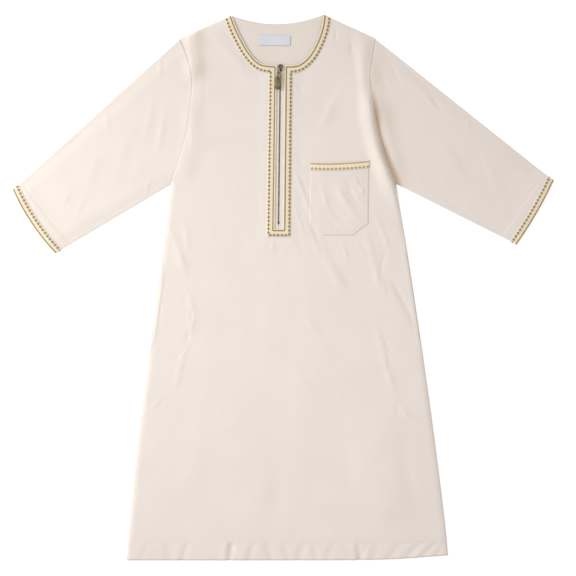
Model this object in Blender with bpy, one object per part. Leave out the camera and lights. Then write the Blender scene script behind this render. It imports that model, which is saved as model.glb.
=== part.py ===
"""Child's zip-front thobe with braided neckline, lying flat on its back.

X runs across the garment (the wearer's left is +X), Y runs from the hem to the neck and Z points up,
away from the surface that the garment lies on. The origin is under the middle of the garment's box.
All sizes below are millimetres. Each piece of cloth is a grid laid over the pattern piece's outline,
lifted by one shared height rule, and thickened straight down, so that the layers follow each other.
"""
import math

import bmesh
import bpy
import numpy as np
from mathutils import Matrix, Vector

MM = 0.001

# ---- driving sizes -------------------------------------------------------------------------------
WALL = 1.2              # cloth with its turned seam allowances
GAP = 0.3               # between pieces that touch
BRAID_WIDTH = 13.0
BRAID_WALL = 1.0
AIR = 1.5               # extra height of the front above the back, away from the seams
SEAM_RISE = 9.0         # width over which the front rises from a seam
HEM_FALL = 45.0         # length over which the front comes down to the open hem
HEM_AIR = 0.3           # what is left of that height at the hem
HEM_SHARE = 0.7         # share of the folds that the hem presses flat
SEAM_Z = WALL + GAP     # underside of the upper layer along a seam
PLATEAU_Z = SEAM_Z + AIR + WALL     # upper face of the front, away from seams and folds

ZIP_TOP = (-4.0, 351.5)       # where the slit meets the neckline, on the zip's centre line
ZIP_FOOT = (-7.2, 93.2)       # lower end of the slit
SLIT_HALF_TOP = 6.4
SLIT_HALF_FOOT = 6.9
SLIT_SHIFT = 0.5              # how far the slit lies to the wearer's left of the zip's centre line
SLIT_CORNER_RISE = {-1: 2.2, 1: 1.2}    # the neckline's turned corners stand above the slit's top
ZIP_RAISE = 1.2               # the zip lifts the front along the slit
ZIP_RAISE_HALF = 20.0         # half width of that lift where it is full
ZIP_RAISE_FADE = 17.0
ZIP_RAISE_FOOT = (45.0, 28.0)   # how far below the slit the lift starts, and the length over which it grows
CENTRE_HEM_X = -12.0          # the slit's line carried down to the hem

BACK_NECK_DIP = 14.2

# ---- outlines, as short tables (x, y) ------------------------------------------------------------
NECK_RIGHT = [(-82.0, 434.4), (-73.8, 412.8), (-64.4, 394.1), (-54.9, 377.8), (-44.3, 364.8),
              (-33.0, 356.8), (-20.0, 354.9)]
NECK_LEFT = [(64.6, 436.2), (62.4, 418.1), (56.6, 398.9), (46.4, 377.8), (35.0, 363.6),
             (22.5, 355.4), (12.0, 354.3)]
ARMHOLE_RIGHT = [(-180.2, 164.5), (-166.6, 203.0), (-153.6, 250.0), (-146.6, 300.0), (-145.6, 336.0),
                 (-153.0, 369.0), (-164.8, 398.1)]
ARMHOLE_LEFT = [(180.8, 165.3), (163.6, 214.0), (151.4, 262.0), (142.4, 304.0), (138.8, 336.0),
                (142.0, 366.0), (147.2, 398.1)]
SIDE_RIGHT = [(-250.0, -436.3), (-244.6, -366.0), (-228.6, -212.0), (-199.8, 0.0), (-180.2, 164.5)]
SIDE_LEFT = [(264.0, -428.3), (257.8, -366.0), (238.4, -212.0), (207.6, 0.0), (180.8, 165.3)]
HEM = [(-250.0, -436.3), (-90.0, -436.3), (70.0, -436.3), (175.0, -434.6), (264.0, -428.3)]

# sleeve: corners where the tube's two folded edges meet the cuff, and how far the cuff bows out
SLEEVES = {
    "right": {"cuff_top": (-432.0, 156.0), "cuff_foot": (-364.4, 54.6), "bow": 5.0},
    "left": {"cuff_top": (432.8, 170.4), "cuff_foot": (373.6, 68.2), "bow": 2.4},
}
CUFF_RAMP = 26.0        # length over which the sleeve lifts off the floor for its braid
FOLD_OVER = 0.9         # reach of a sleeve's folded edge beyond its faces, in thicknesses of the wall

POCKET = {"foot": [(42.1, 101.3), (62.4, 83.2), (112.0, 83.2), (136.4, 102.0)],
          "mouth": [(44.3, 199.4), (137.6, 203.0)], "sag": 2.2}
LABEL = {"centre": (-13.2, 394.8), "width": 50.0, "height": 16.4, "tilt": -1.0, "wall": 1.0}

# seam pockets: mouth of the pocket along the side seam, and the bag's edge inside the garment
POCKET_MOUTH = {"right": (-72.0, 8.0), "left": (-76.0, 48.0)}
MOUTH_INSET = {"right": 3.0, "left": 1.2}       # how far the front's edge is drawn in at the mouth
MOUTH_INSET_FADE = 22.0                         # length over which it goes back to the seam
MOUTH_RISE_FADE = 60.0                          # length over which the open front comes down to the seam
MOUTH_ZONE = 100.0                              # the mouths lie further than this from the middle
BAG_EDGE = {
    "right": [(-160.0, 38.0), (-149.0, 4.0), (-147.0, -42.0), (-154.0, -88.0), (-165.0, -142.0),
              (-186.0, -178.0), (-210.0, -192.0)],
    "left": [(162.0, 40.0), (153.6, 5.0), (153.2, -60.0), (166.0, -100.0), (174.0, -142.0),
             (187.0, -184.0), (214.0, -198.0)],
}
BAG_SEAM_MARGIN = 12.0
BAG_MOUTH_FADE = 25.0
BAG_ROWS = 12

# ---- the largest folds: a soft ridge, or a trough with a height below nothing, along a curved line ----
# Half widths are on the left and right of the line walked from its start to its end.
FOLD_COLUMNS = ("start", "bend", "end", "left_half", "right_half", "height")
FOLDS = {
    "armhole_left_roll": ((193.0, 108.0), (133.0, 244.0), (136.0, 338.0), 18.0, 14.0, 5.0),
    "armhole_left_shoulder": ((139.0, 270.0), (134.0, 360.0), (120.0, 428.0), 26.0, 13.0, 2.2),
    "armhole_right_roll": ((-155.0, 200.0), (-138.0, 330.0), (-161.0, 440.0), 20.0, 30.0, 2.2),
    "neck_right_fold": ((-50.0, 332.0), (-74.0, 363.0), (-123.0, 416.0), 15.0, 13.0, 0.7),
    "chest_left_diagonal": ((60.0, 250.0), (74.0, 290.0), (101.0, 332.0), 13.0, 16.0, 0.7),
    "belly_diagonal": ((107.0, -20.0), (80.0, 20.0), (52.0, 58.0), 17.0, 14.0, 0.7),
    "underarm_right_crease": ((-150.0, 5.0), (-164.0, 61.0), (-185.0, 111.0), 14.0, 9.0, 1.0),
    "bag_right_edge": ((-160.0, -120.0), (-136.0, -50.0), (-152.0, 5.0), 14.0, 9.0, 0.9),
    "bag_right_foot": ((-224.0, -203.0), (-196.0, -190.0), (-160.0, -128.0), 11.0, 9.0, 0.7),
    "bag_left_edge": ((184.0, -187.0), (165.0, -120.0), (146.0, -52.0), 14.0, 10.0, 0.9),
    "bag_left_foot": ((219.0, -219.0), (200.0, -214.0), (181.0, -177.0), 11.0, 9.0, 0.6),
    "bag_left_high": ((157.0, -14.0), (152.0, 23.0), (128.0, 96.0), 14.0, 10.0, 0.8),
    "skirt_left_fall": ((147.0, -420.0), (174.0, -308.0), (139.0, -167.0), 70.0, 90.0, 2.0),
    "skirt_right_wave": ((-165.0, -350.0), (-126.0, -276.0), (-142.0, -160.0), 32.0, 42.0, 1.0),
    "skirt_middle_hollow": ((-34.0, -390.0), (11.0, -324.0), (-21.0, -230.0), 34.0, 38.0, -0.8),
    "skirt_left_wave": ((110.0, -380.0), (142.0, -292.0), (99.0, -180.0), 32.0, 42.0, 0.8),
    "sleeve_right_wave": ((-204.0, 196.0), (-198.0, 250.0), (-188.0, 316.0), 14.0, 14.0, 1.0),
    "sleeve_right_middle": ((-270.0, 156.0), (-258.0, 204.0), (-251.0, 262.0), 20.0, 20.0, 0.9),
    "sleeve_right_cuff": ((-318.0, 136.0), (-305.0, 184.0), (-294.0, 232.0), 18.0, 18.0, 0.6),
    "sleeve_left_fall": ((194.0, 166.0), (184.0, 236.0), (165.0, 306.0), 12.0, 22.0, 1.0),
    "sleeve_left_ridge": ((251.0, 276.0), (227.0, 306.0), (194.0, 332.0), 14.0, 12.0, 1.0),
    "sleeve_left_middle": ((306.0, 152.0), (267.0, 204.0), (242.0, 262.0), 20.0, 20.0, 0.9),
    "sleeve_left_cuff": ((357.0, 130.0), (333.0, 178.0), (315.0, 226.0), 18.0, 18.0, 0.5),
}
FOLD_FADE = 0.3         # share of a fold's length over which each of its ends fades
FOLD_STEPS = 40         # places along a fold's line that the height rule looks at
FOLD_FREE = 5.0         # folds are at full height this far from a seam

# ---- grid density ------------------------------------------------------------------------------------
SIDE_COLUMNS = [0.0, 0.03, 0.065, 0.105, 0.15, 0.20, 0.26, 0.33, 0.41, 0.50, 0.60, 0.70, 0.80, 0.90, 1.0]
BACK_NECK_COLUMNS = 8
SKIRT_ROWS = 24
SLIT_ROWS = 3
CHEST_ROWS = 9
NECK_ROWS = 9
WAIST = SKIRT_ROWS + 1 + SLIT_ROWS      # the row through both underarms
ARMHOLE_ROWS = CHEST_ROWS + NECK_ROWS
SLEEVE_STATIONS = [0.0, 0.02, 0.05, 0.09, 0.14, 0.20, 0.27, 0.34, 0.42, 0.50, 0.58, 0.66, 0.74, 0.82]
SLEEVE_FOLDS_END = 0.1                  # share of a sleeve's length over which its folds fade at the cuff
OUTLINE_STEPS = 80                      # points on a curve that others are measured against
DISTANCE_STEPS = 24

# ---- zip hardware, measured from the slider's front end down the zip ---------------------------------
CHAIN_HALF = 1.8
CHAIN_TOP = 1.6
CHAIN_FOOT = 12.5             # from the slit's lower end up to the last tooth
CHAIN_Z = (2.8, 4.3)
STOP_LENGTH = 4.0
STOP_Z = (2.4, 4.6)
TAPE_WIDTH = 10.0
TAPE_Z = (2.8, 3.9)
SLIDER = {"half": 3.4, "front": 5.0, "back": -5.4, "plate": 0.9, "low": 1.6, "top": (4.6, 5.9)}
BAIL = {"half": 0.6, "near": -4.0, "far": 3.8, "leg": 1.5, "top": 9.4, "bar": 1.0}
PULL = {"axis_back": 1.4, "axis_z": 7.55, "rod": 0.55, "half_link": 3.1, "half_window": 1.9,
        "window": 6.6, "neck": 14.5, "hole_at": 11.4, "hole": 1.3, "half_tab": 4.5, "length": 34.4,
        "skew": -8.5}

CLOTH_COLOUR = (0.80, 0.72, 0.65, 1.0)
GOLD_THREAD = (0.50, 0.37, 0.16, 1.0)
LABEL_COLOUR = (0.78, 0.78, 0.82, 1.0)
ANTIQUE_BRASS = (0.24, 0.19, 0.11, 1.0)


# ---- plan geometry -----------------------------------------------------------------------------------
def smooth_step(value):
    """Rise from 0 to 1 with level ends."""
    t = np.clip(value, 0.0, 1.0)
    return t * t * (3.0 - 2.0 * t)


def resample(path, fractions):
    """Points at the given fractions of a polyline's length."""
    path = np.asarray(path, dtype=float)
    steps = np.hypot(*np.diff(path, axis=0).T)
    along = np.concatenate([[0.0], np.cumsum(steps)])
    wanted = np.asarray(fractions, dtype=float) * along[-1]
    return np.stack([np.interp(wanted, along, path[:, k]) for k in (0, 1)], axis=1)


def smooth_curve(points, count):
    """Catmull-Rom curve through the points, in count equal steps of its length."""
    p = np.asarray(points, dtype=float)
    p = np.vstack([2 * p[0] - p[1], p, 2 * p[-1] - p[-2]])
    fine = []
    for k in range(1, len(p) - 2):
        for t in np.linspace(0.0, 1.0, 24, endpoint=False):
            a = 2 * p[k]
            b = (p[k + 1] - p[k - 1]) * t
            c = (2 * p[k - 1] - 5 * p[k] + 4 * p[k + 1] - p[k + 2]) * t ** 2
            d = (3 * p[k] - p[k - 1] - 3 * p[k + 1] + p[k + 2]) * t ** 3
            fine.append(0.5 * (a + b + c + d))
    fine.append(p[-2])
    return resample(fine, np.linspace(0.0, 1.0, count + 1))


def line(start, end, count):
    """Equal steps along a straight line."""
    t = np.linspace(0.0, 1.0, count + 1)[:, None]
    return (1.0 - t) * np.asarray(start, float) + t * np.asarray(end, float)


def coons(low, high, left, right, columns):
    """Patch between four edges that share their corners: rows run along left, columns along low."""
    u = np.asarray(columns)[None, :, None]
    v = np.linspace(0.0, 1.0, len(left))[:, None, None]
    ruled = (1 - v) * low[None] + v * high[None] + (1 - u) * left[:, None] + u * right[:, None]
    corners = ((1 - u) * (1 - v) * low[0] + u * (1 - v) * low[-1]
               + (1 - u) * v * high[0] + u * v * high[-1])
    return ruled - corners


def distance_to(path, x, y):
    """Distance in plan from each (x, y) to a polyline."""
    best = np.full(np.shape(x), 1e9)
    for (ax, ay), (bx, by) in zip(path[:-1], path[1:]):
        dx, dy = bx - ax, by - ay
        t = np.clip(((x - ax) * dx + (y - ay) * dy) / (dx * dx + dy * dy), 0.0, 1.0)
        best = np.minimum(best, np.hypot(x - ax - t * dx, y - ay - t * dy))
    return best


def offset_path(path, width):
    """The path moved sideways to its right by width, with mitred corners."""
    path = np.asarray(path, dtype=float)
    ahead = np.diff(path, axis=0)
    ahead /= np.hypot(*ahead.T)[:, None]
    normals = np.stack([ahead[:, 1], -ahead[:, 0]], axis=1)
    moved = []
    for k in range(len(path)):
        mitre = normals[max(k - 1, 0)] + normals[min(k, len(normals) - 1)]
        mitre /= 0.5 * mitre @ mitre
        moved.append(path[k] + width * mitre)
    return np.array(moved)


# ---- the shared height rule --------------------------------------------------------------------------
def fold_height(x, y):
    """Sum of the folds at (x, y), each a lopsided bell across its line and fading out at its ends."""
    total = np.zeros(np.shape(x))
    for row in FOLDS.values():
        fold = dict(zip(FOLD_COLUMNS, row))
        a, b, c = (np.asarray(fold[key], float) for key in ("start", "bend", "end"))
        best = np.full(np.shape(x), 1e9)
        place, side = np.zeros(np.shape(x)), np.zeros(np.shape(x))
        for t in np.linspace(0.0, 1.0, FOLD_STEPS + 1):
            px, py = (1 - t) ** 2 * a + 2 * t * (1 - t) * b + t * t * c
            dx, dy = (1 - t) * (b - a) + t * (c - b)
            away = np.hypot(x - px, y - py)
            closer = away < best
            place = np.where(closer, t, place)
            side = np.where(closer, dx * (y - py) - dy * (x - px), side)
            best = np.minimum(best, away)
        half = np.where(side > 0.0, fold["left_half"], fold["right_half"])
        across = 0.5 + 0.5 * np.cos(np.pi * np.clip(best / half, 0.0, 1.0))
        ends = smooth_step(place / FOLD_FADE) * smooth_step((1.0 - place) / FOLD_FADE)
        total = total + fold["height"] * across * ends
    return total


def zip_line(y):
    """x of the zip's centre line at a height on the garment."""
    slope = (ZIP_TOP[0] - ZIP_FOOT[0]) / (ZIP_TOP[1] - ZIP_FOOT[1])
    return ZIP_FOOT[0] + (y - ZIP_FOOT[1]) * slope


def mouth_opening(side, y, margin):
    """1 along a seam pocket's mouth, falling to 0 over the margin beyond each end."""
    low, high = POCKET_MOUTH[side]
    return smooth_step((y - low + margin) / margin) * smooth_step((high + margin - y) / margin)


def body_seams():
    """The sewn edges of the body's two layers: sides, armholes and shoulders."""
    shoulder_right = line(ARMHOLE_RIGHT[-1], NECK_RIGHT[0], 1)
    shoulder_left = line(ARMHOLE_LEFT[-1], NECK_LEFT[0], 1)
    armhole_right = smooth_curve(ARMHOLE_RIGHT, ARMHOLE_ROWS)
    armhole_left = smooth_curve(ARMHOLE_LEFT, ARMHOLE_ROWS)
    right = [smooth_curve(SIDE_RIGHT, DISTANCE_STEPS)[:-1], armhole_right[:-1], shoulder_right]
    left = [smooth_curve(SIDE_LEFT, DISTANCE_STEPS)[:-1], armhole_left[:-1], shoulder_left]
    return np.vstack(right), np.vstack(left)


def front_height(x, y):
    """Upper face of the front panel: level inside, low at the seams and hem, with the folds added."""
    right, left = body_seams()
    from_seam = np.minimum(distance_to(right, x, y), distance_to(left, x, y))
    rise = smooth_step(from_seam / SEAM_RISE)
    for side, sign in (("right", -1), ("left", 1)):
        rise = np.maximum(rise, mouth_opening(side, y, MOUTH_RISE_FADE) * (sign * x > MOUTH_ZONE))
    hem_y = HEM[0][1]
    near_hem = 1.0 - smooth_step((y - hem_y) / HEM_FALL)
    air = AIR * rise * (1.0 - near_hem) + HEM_AIR * rise * near_hem
    beside_zip = 1.0 - smooth_step((np.abs(x - zip_line(y)) - ZIP_RAISE_HALF) / ZIP_RAISE_FADE)
    below, growth = ZIP_RAISE_FOOT
    above_foot = smooth_step((y - ZIP_FOOT[1] + below) / growth)
    folds = fold_height(x, y) * smooth_step(from_seam / FOLD_FREE) * (1.0 - HEM_SHARE * near_hem)
    return SEAM_Z + WALL + air + ZIP_RAISE * beside_zip * above_foot + folds


# ---- making pieces -------------------------------------------------------------------------------------
def material(name, colour, roughness, metallic=0.0):
    """A Principled material."""
    made = bpy.data.materials.new(name)
    made.use_nodes = True
    shader = made.node_tree.nodes["Principled BSDF"]
    shader.inputs["Base Color"].default_value = colour
    shader.inputs["Roughness"].default_value = roughness
    shader.inputs["Metallic"].default_value = metallic
    return made


def add_piece(name, bm, finish, origin=(0.0, 0.0, 0.0)):
    """Turn a bmesh in millimetres into a named object of the garment, its origin at the given point."""
    bmesh.ops.recalc_face_normals(bm, faces=bm.faces[:])
    to_origin = Matrix.Scale(MM, 4) @ Matrix.Translation(-Vector(origin))
    bmesh.ops.transform(bm, matrix=to_origin, verts=bm.verts[:])
    mesh = bpy.data.meshes.new(name)
    bm.to_mesh(mesh)
    bm.free()
    mesh.materials.append(finish)
    piece = bpy.data.objects.new(name, mesh)
    piece.location = Vector(origin) * MM
    PARTS.objects.link(piece)
    return piece


def cloth_sheet(plan, top, wall, keep=None):
    """A bmesh grid laid on plan (rows, columns, xy) at heights top, closed straight down by wall."""
    rows, columns = plan.shape[0] - 1, plan.shape[1] - 1
    bm = bmesh.new()
    bmesh.ops.create_grid(bm, x_segments=columns, y_segments=rows, size=0.5)
    place = {}
    for vert in bm.verts:
        i = round((vert.co.y + 0.5) * rows)
        j = round((vert.co.x + 0.5) * columns)
        place[vert] = (i, j)
    if keep is not None:
        spare = []
        for face in bm.faces:
            i = min(place[vert][0] for vert in face.verts)
            j = min(place[vert][1] for vert in face.verts)
            if not keep[i, j]:
                spare.append(face)
        bmesh.ops.delete(bm, geom=spare, context="FACES")
    for vert in bm.verts:
        i, j = place[vert]
        vert.co = (plan[i, j, 0], plan[i, j, 1], top[i, j])
    bmesh.ops.triangulate(bm, faces=bm.faces[:], quad_method="SHORT_EDGE")
    close_down(bm, wall)
    return bm


def close_down(bm, wall):
    """Extrude an open sheet straight down into a closed wall."""
    made = bmesh.ops.extrude_face_region(bm, geom=bm.faces[:])
    lower = [item for item in made["geom"] if isinstance(item, bmesh.types.BMVert)]
    bmesh.ops.translate(bm, verts=lower, vec=(0.0, 0.0, -wall))


def box(bm, x, y, z):
    """Add a box given by its ranges along each axis."""
    centre = Vector([(pair[0] + pair[1]) / 2 for pair in (x, y, z)])
    spans = [pair[1] - pair[0] for pair in (x, y, z)]
    size = Matrix.Diagonal((*spans, 1.0))
    return bmesh.ops.create_cube(bm, size=1.0, matrix=Matrix.Translation(centre) @ size)


# ---- body panels ---------------------------------------------------------------------------------------
def slit_edge(side, y):
    """x of one edge of the zip slit."""
    share = (y - ZIP_FOOT[1]) / (ZIP_TOP[1] - ZIP_FOOT[1])
    half = SLIT_HALF_FOOT + (SLIT_HALF_TOP - SLIT_HALF_FOOT) * share
    return zip_line(y) + SLIT_SHIFT + side * half


def opening_edge(side):
    """Edge of the opening from the slit's lower corner up and out to the shoulder, by row."""
    neck = NECK_RIGHT if side < 0 else NECK_LEFT
    underarm_y = ARMHOLE_RIGHT[0][1]
    corner = (slit_edge(side, ZIP_TOP[1]), ZIP_TOP[1] + SLIT_CORNER_RISE[side])
    low = (slit_edge(side, ZIP_FOOT[1]), ZIP_FOOT[1])
    waist = (slit_edge(side, underarm_y), underarm_y)
    curve = smooth_curve([corner] + neck[::-1], NECK_ROWS)
    return np.vstack([line(low, waist, SLIT_ROWS)[:-1], line(waist, corner, CHEST_ROWS)[:-1], curve])


def braid_outer_edge(side, edge):
    """The opening's edge moved out by the braid's width, mitred at the top of the slit and ending on
    the shoulder seam."""
    corner = SLIT_ROWS + CHEST_ROWS
    beside = offset_path(edge[:corner + 1], side * BRAID_WIDTH)
    around = offset_path(edge[corner:], side * BRAID_WIDTH)
    (low_x, low_y), (high_x, high_y) = beside[0], beside[-1]
    slope = (high_x - low_x) / (high_y - low_y)
    past = side * (around[:, 0] - low_x - slope * (around[:, 1] - low_y))
    first = int(np.argmax(past > 0.0))
    share = past[first - 1] / (past[first - 1] - past[first])
    mitre = (1.0 - share) * around[first - 1] + share * around[first]
    tip = ARMHOLE_RIGHT[-1] if side < 0 else ARMHOLE_LEFT[-1]
    along = np.asarray(tip) - edge[-1]
    around[-1] = edge[-1] + along / np.hypot(*along) * BRAID_WIDTH
    around = resample(np.vstack([mitre, around[first:]]), np.linspace(0.0, 1.0, NECK_ROWS + 1))
    return np.vstack([line(beside[0], mitre, corner)[:-1], around])


def side_edge(side_points, armhole, side_name, drawn_in):
    """Side seam and armhole by row, with the front's edge drawn in at the seam pocket's mouth."""
    side_rows = smooth_curve(side_points, WAIST)
    sign = -1 if side_name == "right" else 1
    if drawn_in:
        inset = MOUTH_INSET[side_name] * mouth_opening(side_name, side_rows[:, 1], MOUTH_INSET_FADE)
        side_rows[:, 0] -= sign * inset
    return np.vstack([side_rows[:-1], smooth_curve(armhole, ARMHOLE_ROWS)])


def front_half(side):
    """Plan points of one half of the front, from its seam to the slit, and of the braid's band."""
    name = "right" if side < 0 else "left"
    seam = side_edge(SIDE_RIGHT if side < 0 else SIDE_LEFT,
                     ARMHOLE_RIGHT if side < 0 else ARMHOLE_LEFT, name, True)
    edge = opening_edge(side)
    outer = braid_outer_edge(side, edge)
    foot_y = ZIP_FOOT[1] - BRAID_WIDTH
    foot_edge = np.array([slit_edge(side, foot_y), foot_y])
    foot_outer = np.array([foot_edge[0] + side * BRAID_WIDTH, foot_y])
    hem_edge = np.array([CENTRE_HEM_X + side * SLIT_HALF_FOOT, HEM[0][1]])
    hem_outer = hem_edge + np.array([side * BRAID_WIDTH, 0.0])
    edge = np.vstack([line(hem_edge, foot_edge, SKIRT_ROWS), edge])
    outer = np.vstack([line(hem_outer, foot_outer, SKIRT_ROWS), outer])

    hem_x, hem_y = smooth_curve(HEM, OUTLINE_STEPS).T
    low_x = seam[0, 0] + np.asarray(SIDE_COLUMNS) * (hem_outer[0] - seam[0, 0])
    hem_row = np.stack([low_x, np.interp(low_x, hem_x, hem_y)], axis=1)
    waist_row = resample([seam[WAIST], outer[WAIST]], SIDE_COLUMNS)
    shoulder = resample([seam[-1], outer[-1]], SIDE_COLUMNS)
    skirt = coons(hem_row, waist_row, seam[:WAIST + 1], outer[:WAIST + 1], SIDE_COLUMNS)
    chest = coons(waist_row, shoulder, seam[WAIST:], outer[WAIST:], SIDE_COLUMNS)
    cloth = np.vstack([skirt[:-1], chest])
    band = np.stack([outer, (outer + edge) / 2, edge], axis=1)
    return np.concatenate([cloth, band[:, 1:]], axis=1)


def front_plan():
    """Plan points of the whole front: right half, slit, left half mirrored in column order."""
    right, left = front_half(-1), front_half(1)
    middle = (right[:, -1:] + left[:, -1:]) / 2
    return np.concatenate([right, middle, left[:, ::-1]], axis=1)


def front_pieces():
    """The front panel and the braid that lies on its opening's edge."""
    plan = front_plan()
    top = front_height(plan[..., 0], plan[..., 1])
    rows, columns = plan.shape[0] - 1, plan.shape[1] - 1
    half = len(SIDE_COLUMNS) - 1
    band_right = slice(half, half + 2)
    slit = slice(half + 2, half + 4)
    band_left = slice(half + 4, half + 6)

    cloth = np.ones((rows, columns), bool)
    cloth[SKIRT_ROWS + 1:, slit] = False
    add_piece("front_panel", cloth_sheet(plan, top, WALL, cloth), CLOTH)

    braid = np.zeros((rows, columns), bool)
    braid[SKIRT_ROWS:, band_right] = True
    braid[SKIRT_ROWS:, band_left] = True
    braid[SKIRT_ROWS, slit] = True
    add_piece("neck_braid", cloth_sheet(plan, top + GAP + BRAID_WALL, BRAID_WALL, braid), BRAID)


def back_panel():
    """The back: flat on the floor, with the same seams as the front and a shallow neckline."""
    right = side_edge(SIDE_RIGHT, ARMHOLE_RIGHT, "right", False)
    left = side_edge(SIDE_LEFT, ARMHOLE_LEFT, "left", False)
    neck = line(NECK_RIGHT[0], NECK_LEFT[0], BACK_NECK_COLUMNS)
    across = np.linspace(-1.0, 1.0, BACK_NECK_COLUMNS + 1)
    neck[:, 1] -= BACK_NECK_DIP * (1.0 - across ** 2)
    shoulders = np.vstack([right[-1], neck, left[-1]])
    share = np.concatenate([[0.0], np.cumsum(np.hypot(*np.diff(shoulders, axis=0).T))])
    columns = share / share[-1]
    waist_row = resample([right[WAIST], left[WAIST]], columns)
    hem_row = resample(smooth_curve(HEM, OUTLINE_STEPS), columns)
    skirt = coons(hem_row, waist_row, right[:WAIST + 1], left[:WAIST + 1], columns)
    chest = coons(waist_row, shoulders, right[WAIST:], left[WAIST:], columns)
    plan = np.vstack([skirt[:-1], chest])
    add_piece("back_panel", cloth_sheet(plan, np.full(plan.shape[:2], WALL), WALL), CLOTH)


# ---- sleeves -------------------------------------------------------------------------------------------
def sleeve_plan(name):
    """Plan points of a sleeve pressed flat: rows from armhole to cuff, columns across it."""
    armhole = smooth_curve(ARMHOLE_RIGHT if name == "right" else ARMHOLE_LEFT, ARMHOLE_ROWS)
    sign = -1.0 if name == "right" else 1.0
    size = SLEEVES[name]
    foot, top = np.asarray(size["cuff_foot"]), np.asarray(size["cuff_top"])
    across = (top - foot) / np.hypot(*(top - foot))
    outward = sign * np.array([across[1], -across[0]])
    share = np.linspace(0.0, 1.0, ARMHOLE_ROWS + 1)
    cuff = line(foot, top, ARMHOLE_ROWS) + (size["bow"] * 4 * share * (1 - share))[:, None] * outward
    start = armhole + np.array([sign * GAP, 0.0])
    length = np.hypot(*(top - armhole[-1]))
    band = 1.0 - BRAID_WIDTH / length
    ramp = 1.0 - (BRAID_WIDTH + CUFF_RAMP) / length
    stations = np.array([s for s in SLEEVE_STATIONS if s < ramp - 0.02] + [ramp, band, 1.0])
    lower = start[0] + stations[:, None] * (cuff[0] - start[0])
    upper = start[-1] + stations[:, None] * (cuff[-1] - start[-1])
    rows = []
    for k, s in enumerate(stations):
        flat = (1 - s) * start + s * cuff
        t = share[:, None]
        ends = (1 - t) * (lower[k] - flat[0]) + t * (upper[k] - flat[-1])
        rows.append(flat + ends)
    return np.array(rows), stations, (ramp, band)


def sleeve_heights(name, plan, stations, marks):
    """Heights of the sleeve's four faces: outside bottom, inside bottom, inside top, outside top."""
    ramp, band = marks
    lift = (GAP + BRAID_WALL) * smooth_step((stations - ramp) / (band - ramp))[:, None]
    x, y = plan[..., 0], plan[..., 1]
    edges = [plan[:, 0], plan[:, -1], plan[0]]
    from_edge = np.min([distance_to(edge, x, y) for edge in edges], axis=0)
    rise = smooth_step(from_edge / SEAM_RISE)
    at_cuff = smooth_step((stations - ramp + SLEEVE_FOLDS_END) / SLEEVE_FOLDS_END)[:, None]
    folds = fold_height(x, y) * smooth_step(from_edge / FOLD_FREE) * (1.0 - at_cuff)
    low = np.zeros_like(x) + lift
    high = SEAM_Z + WALL + AIR * rise + folds + lift
    return low, low + WALL, high - WALL, high


def ring(points, low, high, reach, across):
    """One loop of a flattened tube: along the bottom, round the fold, back along the top."""
    bottom = [Vector((*xy, z)) for xy, z in zip(points, low)]
    top = [Vector((*xy, z)) for xy, z in zip(points, high)]
    fold = Vector((*(across * reach), 0.0))
    start = (bottom[0] + top[0]) / 2 - fold
    end = (bottom[-1] + top[-1]) / 2 + fold
    return [start] + bottom + [end] + top[::-1]


def tube_between(bm, outer, inner):
    """Skin two stacks of loops, an outer and an inner one, and join them at both open ends."""
    def skin(loops):
        verts = [[bm.verts.new(point) for point in loop] for loop in loops]
        for a, b in zip(verts[:-1], verts[1:]):
            for k in range(len(a)):
                n = (k + 1) % len(a)
                bm.faces.new((a[k], a[n], b[n], b[k]))
        return verts

    out, ins = skin(outer), skin(inner)
    for end in (0, -1):
        count = len(out[end])
        for k in range(count):
            n = (k + 1) % count
            bm.faces.new((out[end][k], out[end][n], ins[end][n], ins[end][k]))
    bmesh.ops.triangulate(bm, faces=bm.faces[:], quad_method="SHORT_EDGE")


def sleeve_pieces(name):
    """One sleeve and the braid round its cuff."""
    plan, stations, marks = sleeve_plan(name)
    low, inside_low, inside_high, high = sleeve_heights(name, plan, stations, marks)
    fold_out = WALL * FOLD_OVER
    outer, inner, braid_out, braid_in = [], [], [], []
    for k in range(len(stations)):
        row = plan[k]
        across = (row[-1] - row[0]) / np.hypot(*(row[-1] - row[0]))
        shrink = np.linspace(-1.0, 1.0, len(row))[:, None] * across
        outer.append(ring(row - shrink * WALL, low[k], high[k], fold_out, across))
        inner.append(ring(row - shrink * 2.4 * WALL, inside_low[k], inside_high[k], 0.15, across))
        if k >= len(stations) - 2:
            skin = shrink * (WALL - GAP)
            braid_in.append(ring(row - skin, low[k] - GAP, high[k] + GAP, fold_out, across))
            skin = shrink * (WALL - GAP - BRAID_WALL)
            thick = GAP + BRAID_WALL
            braid_out.append(ring(row - skin, low[k] - thick, high[k] + thick, fold_out + 0.4, across))
    bm = bmesh.new()
    tube_between(bm, outer, inner)
    add_piece(f"sleeve_{name}", bm, CLOTH)
    bm = bmesh.new()
    tube_between(bm, braid_out, braid_in)
    add_piece(f"cuff_braid_{name}", bm, BRAID)


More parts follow.
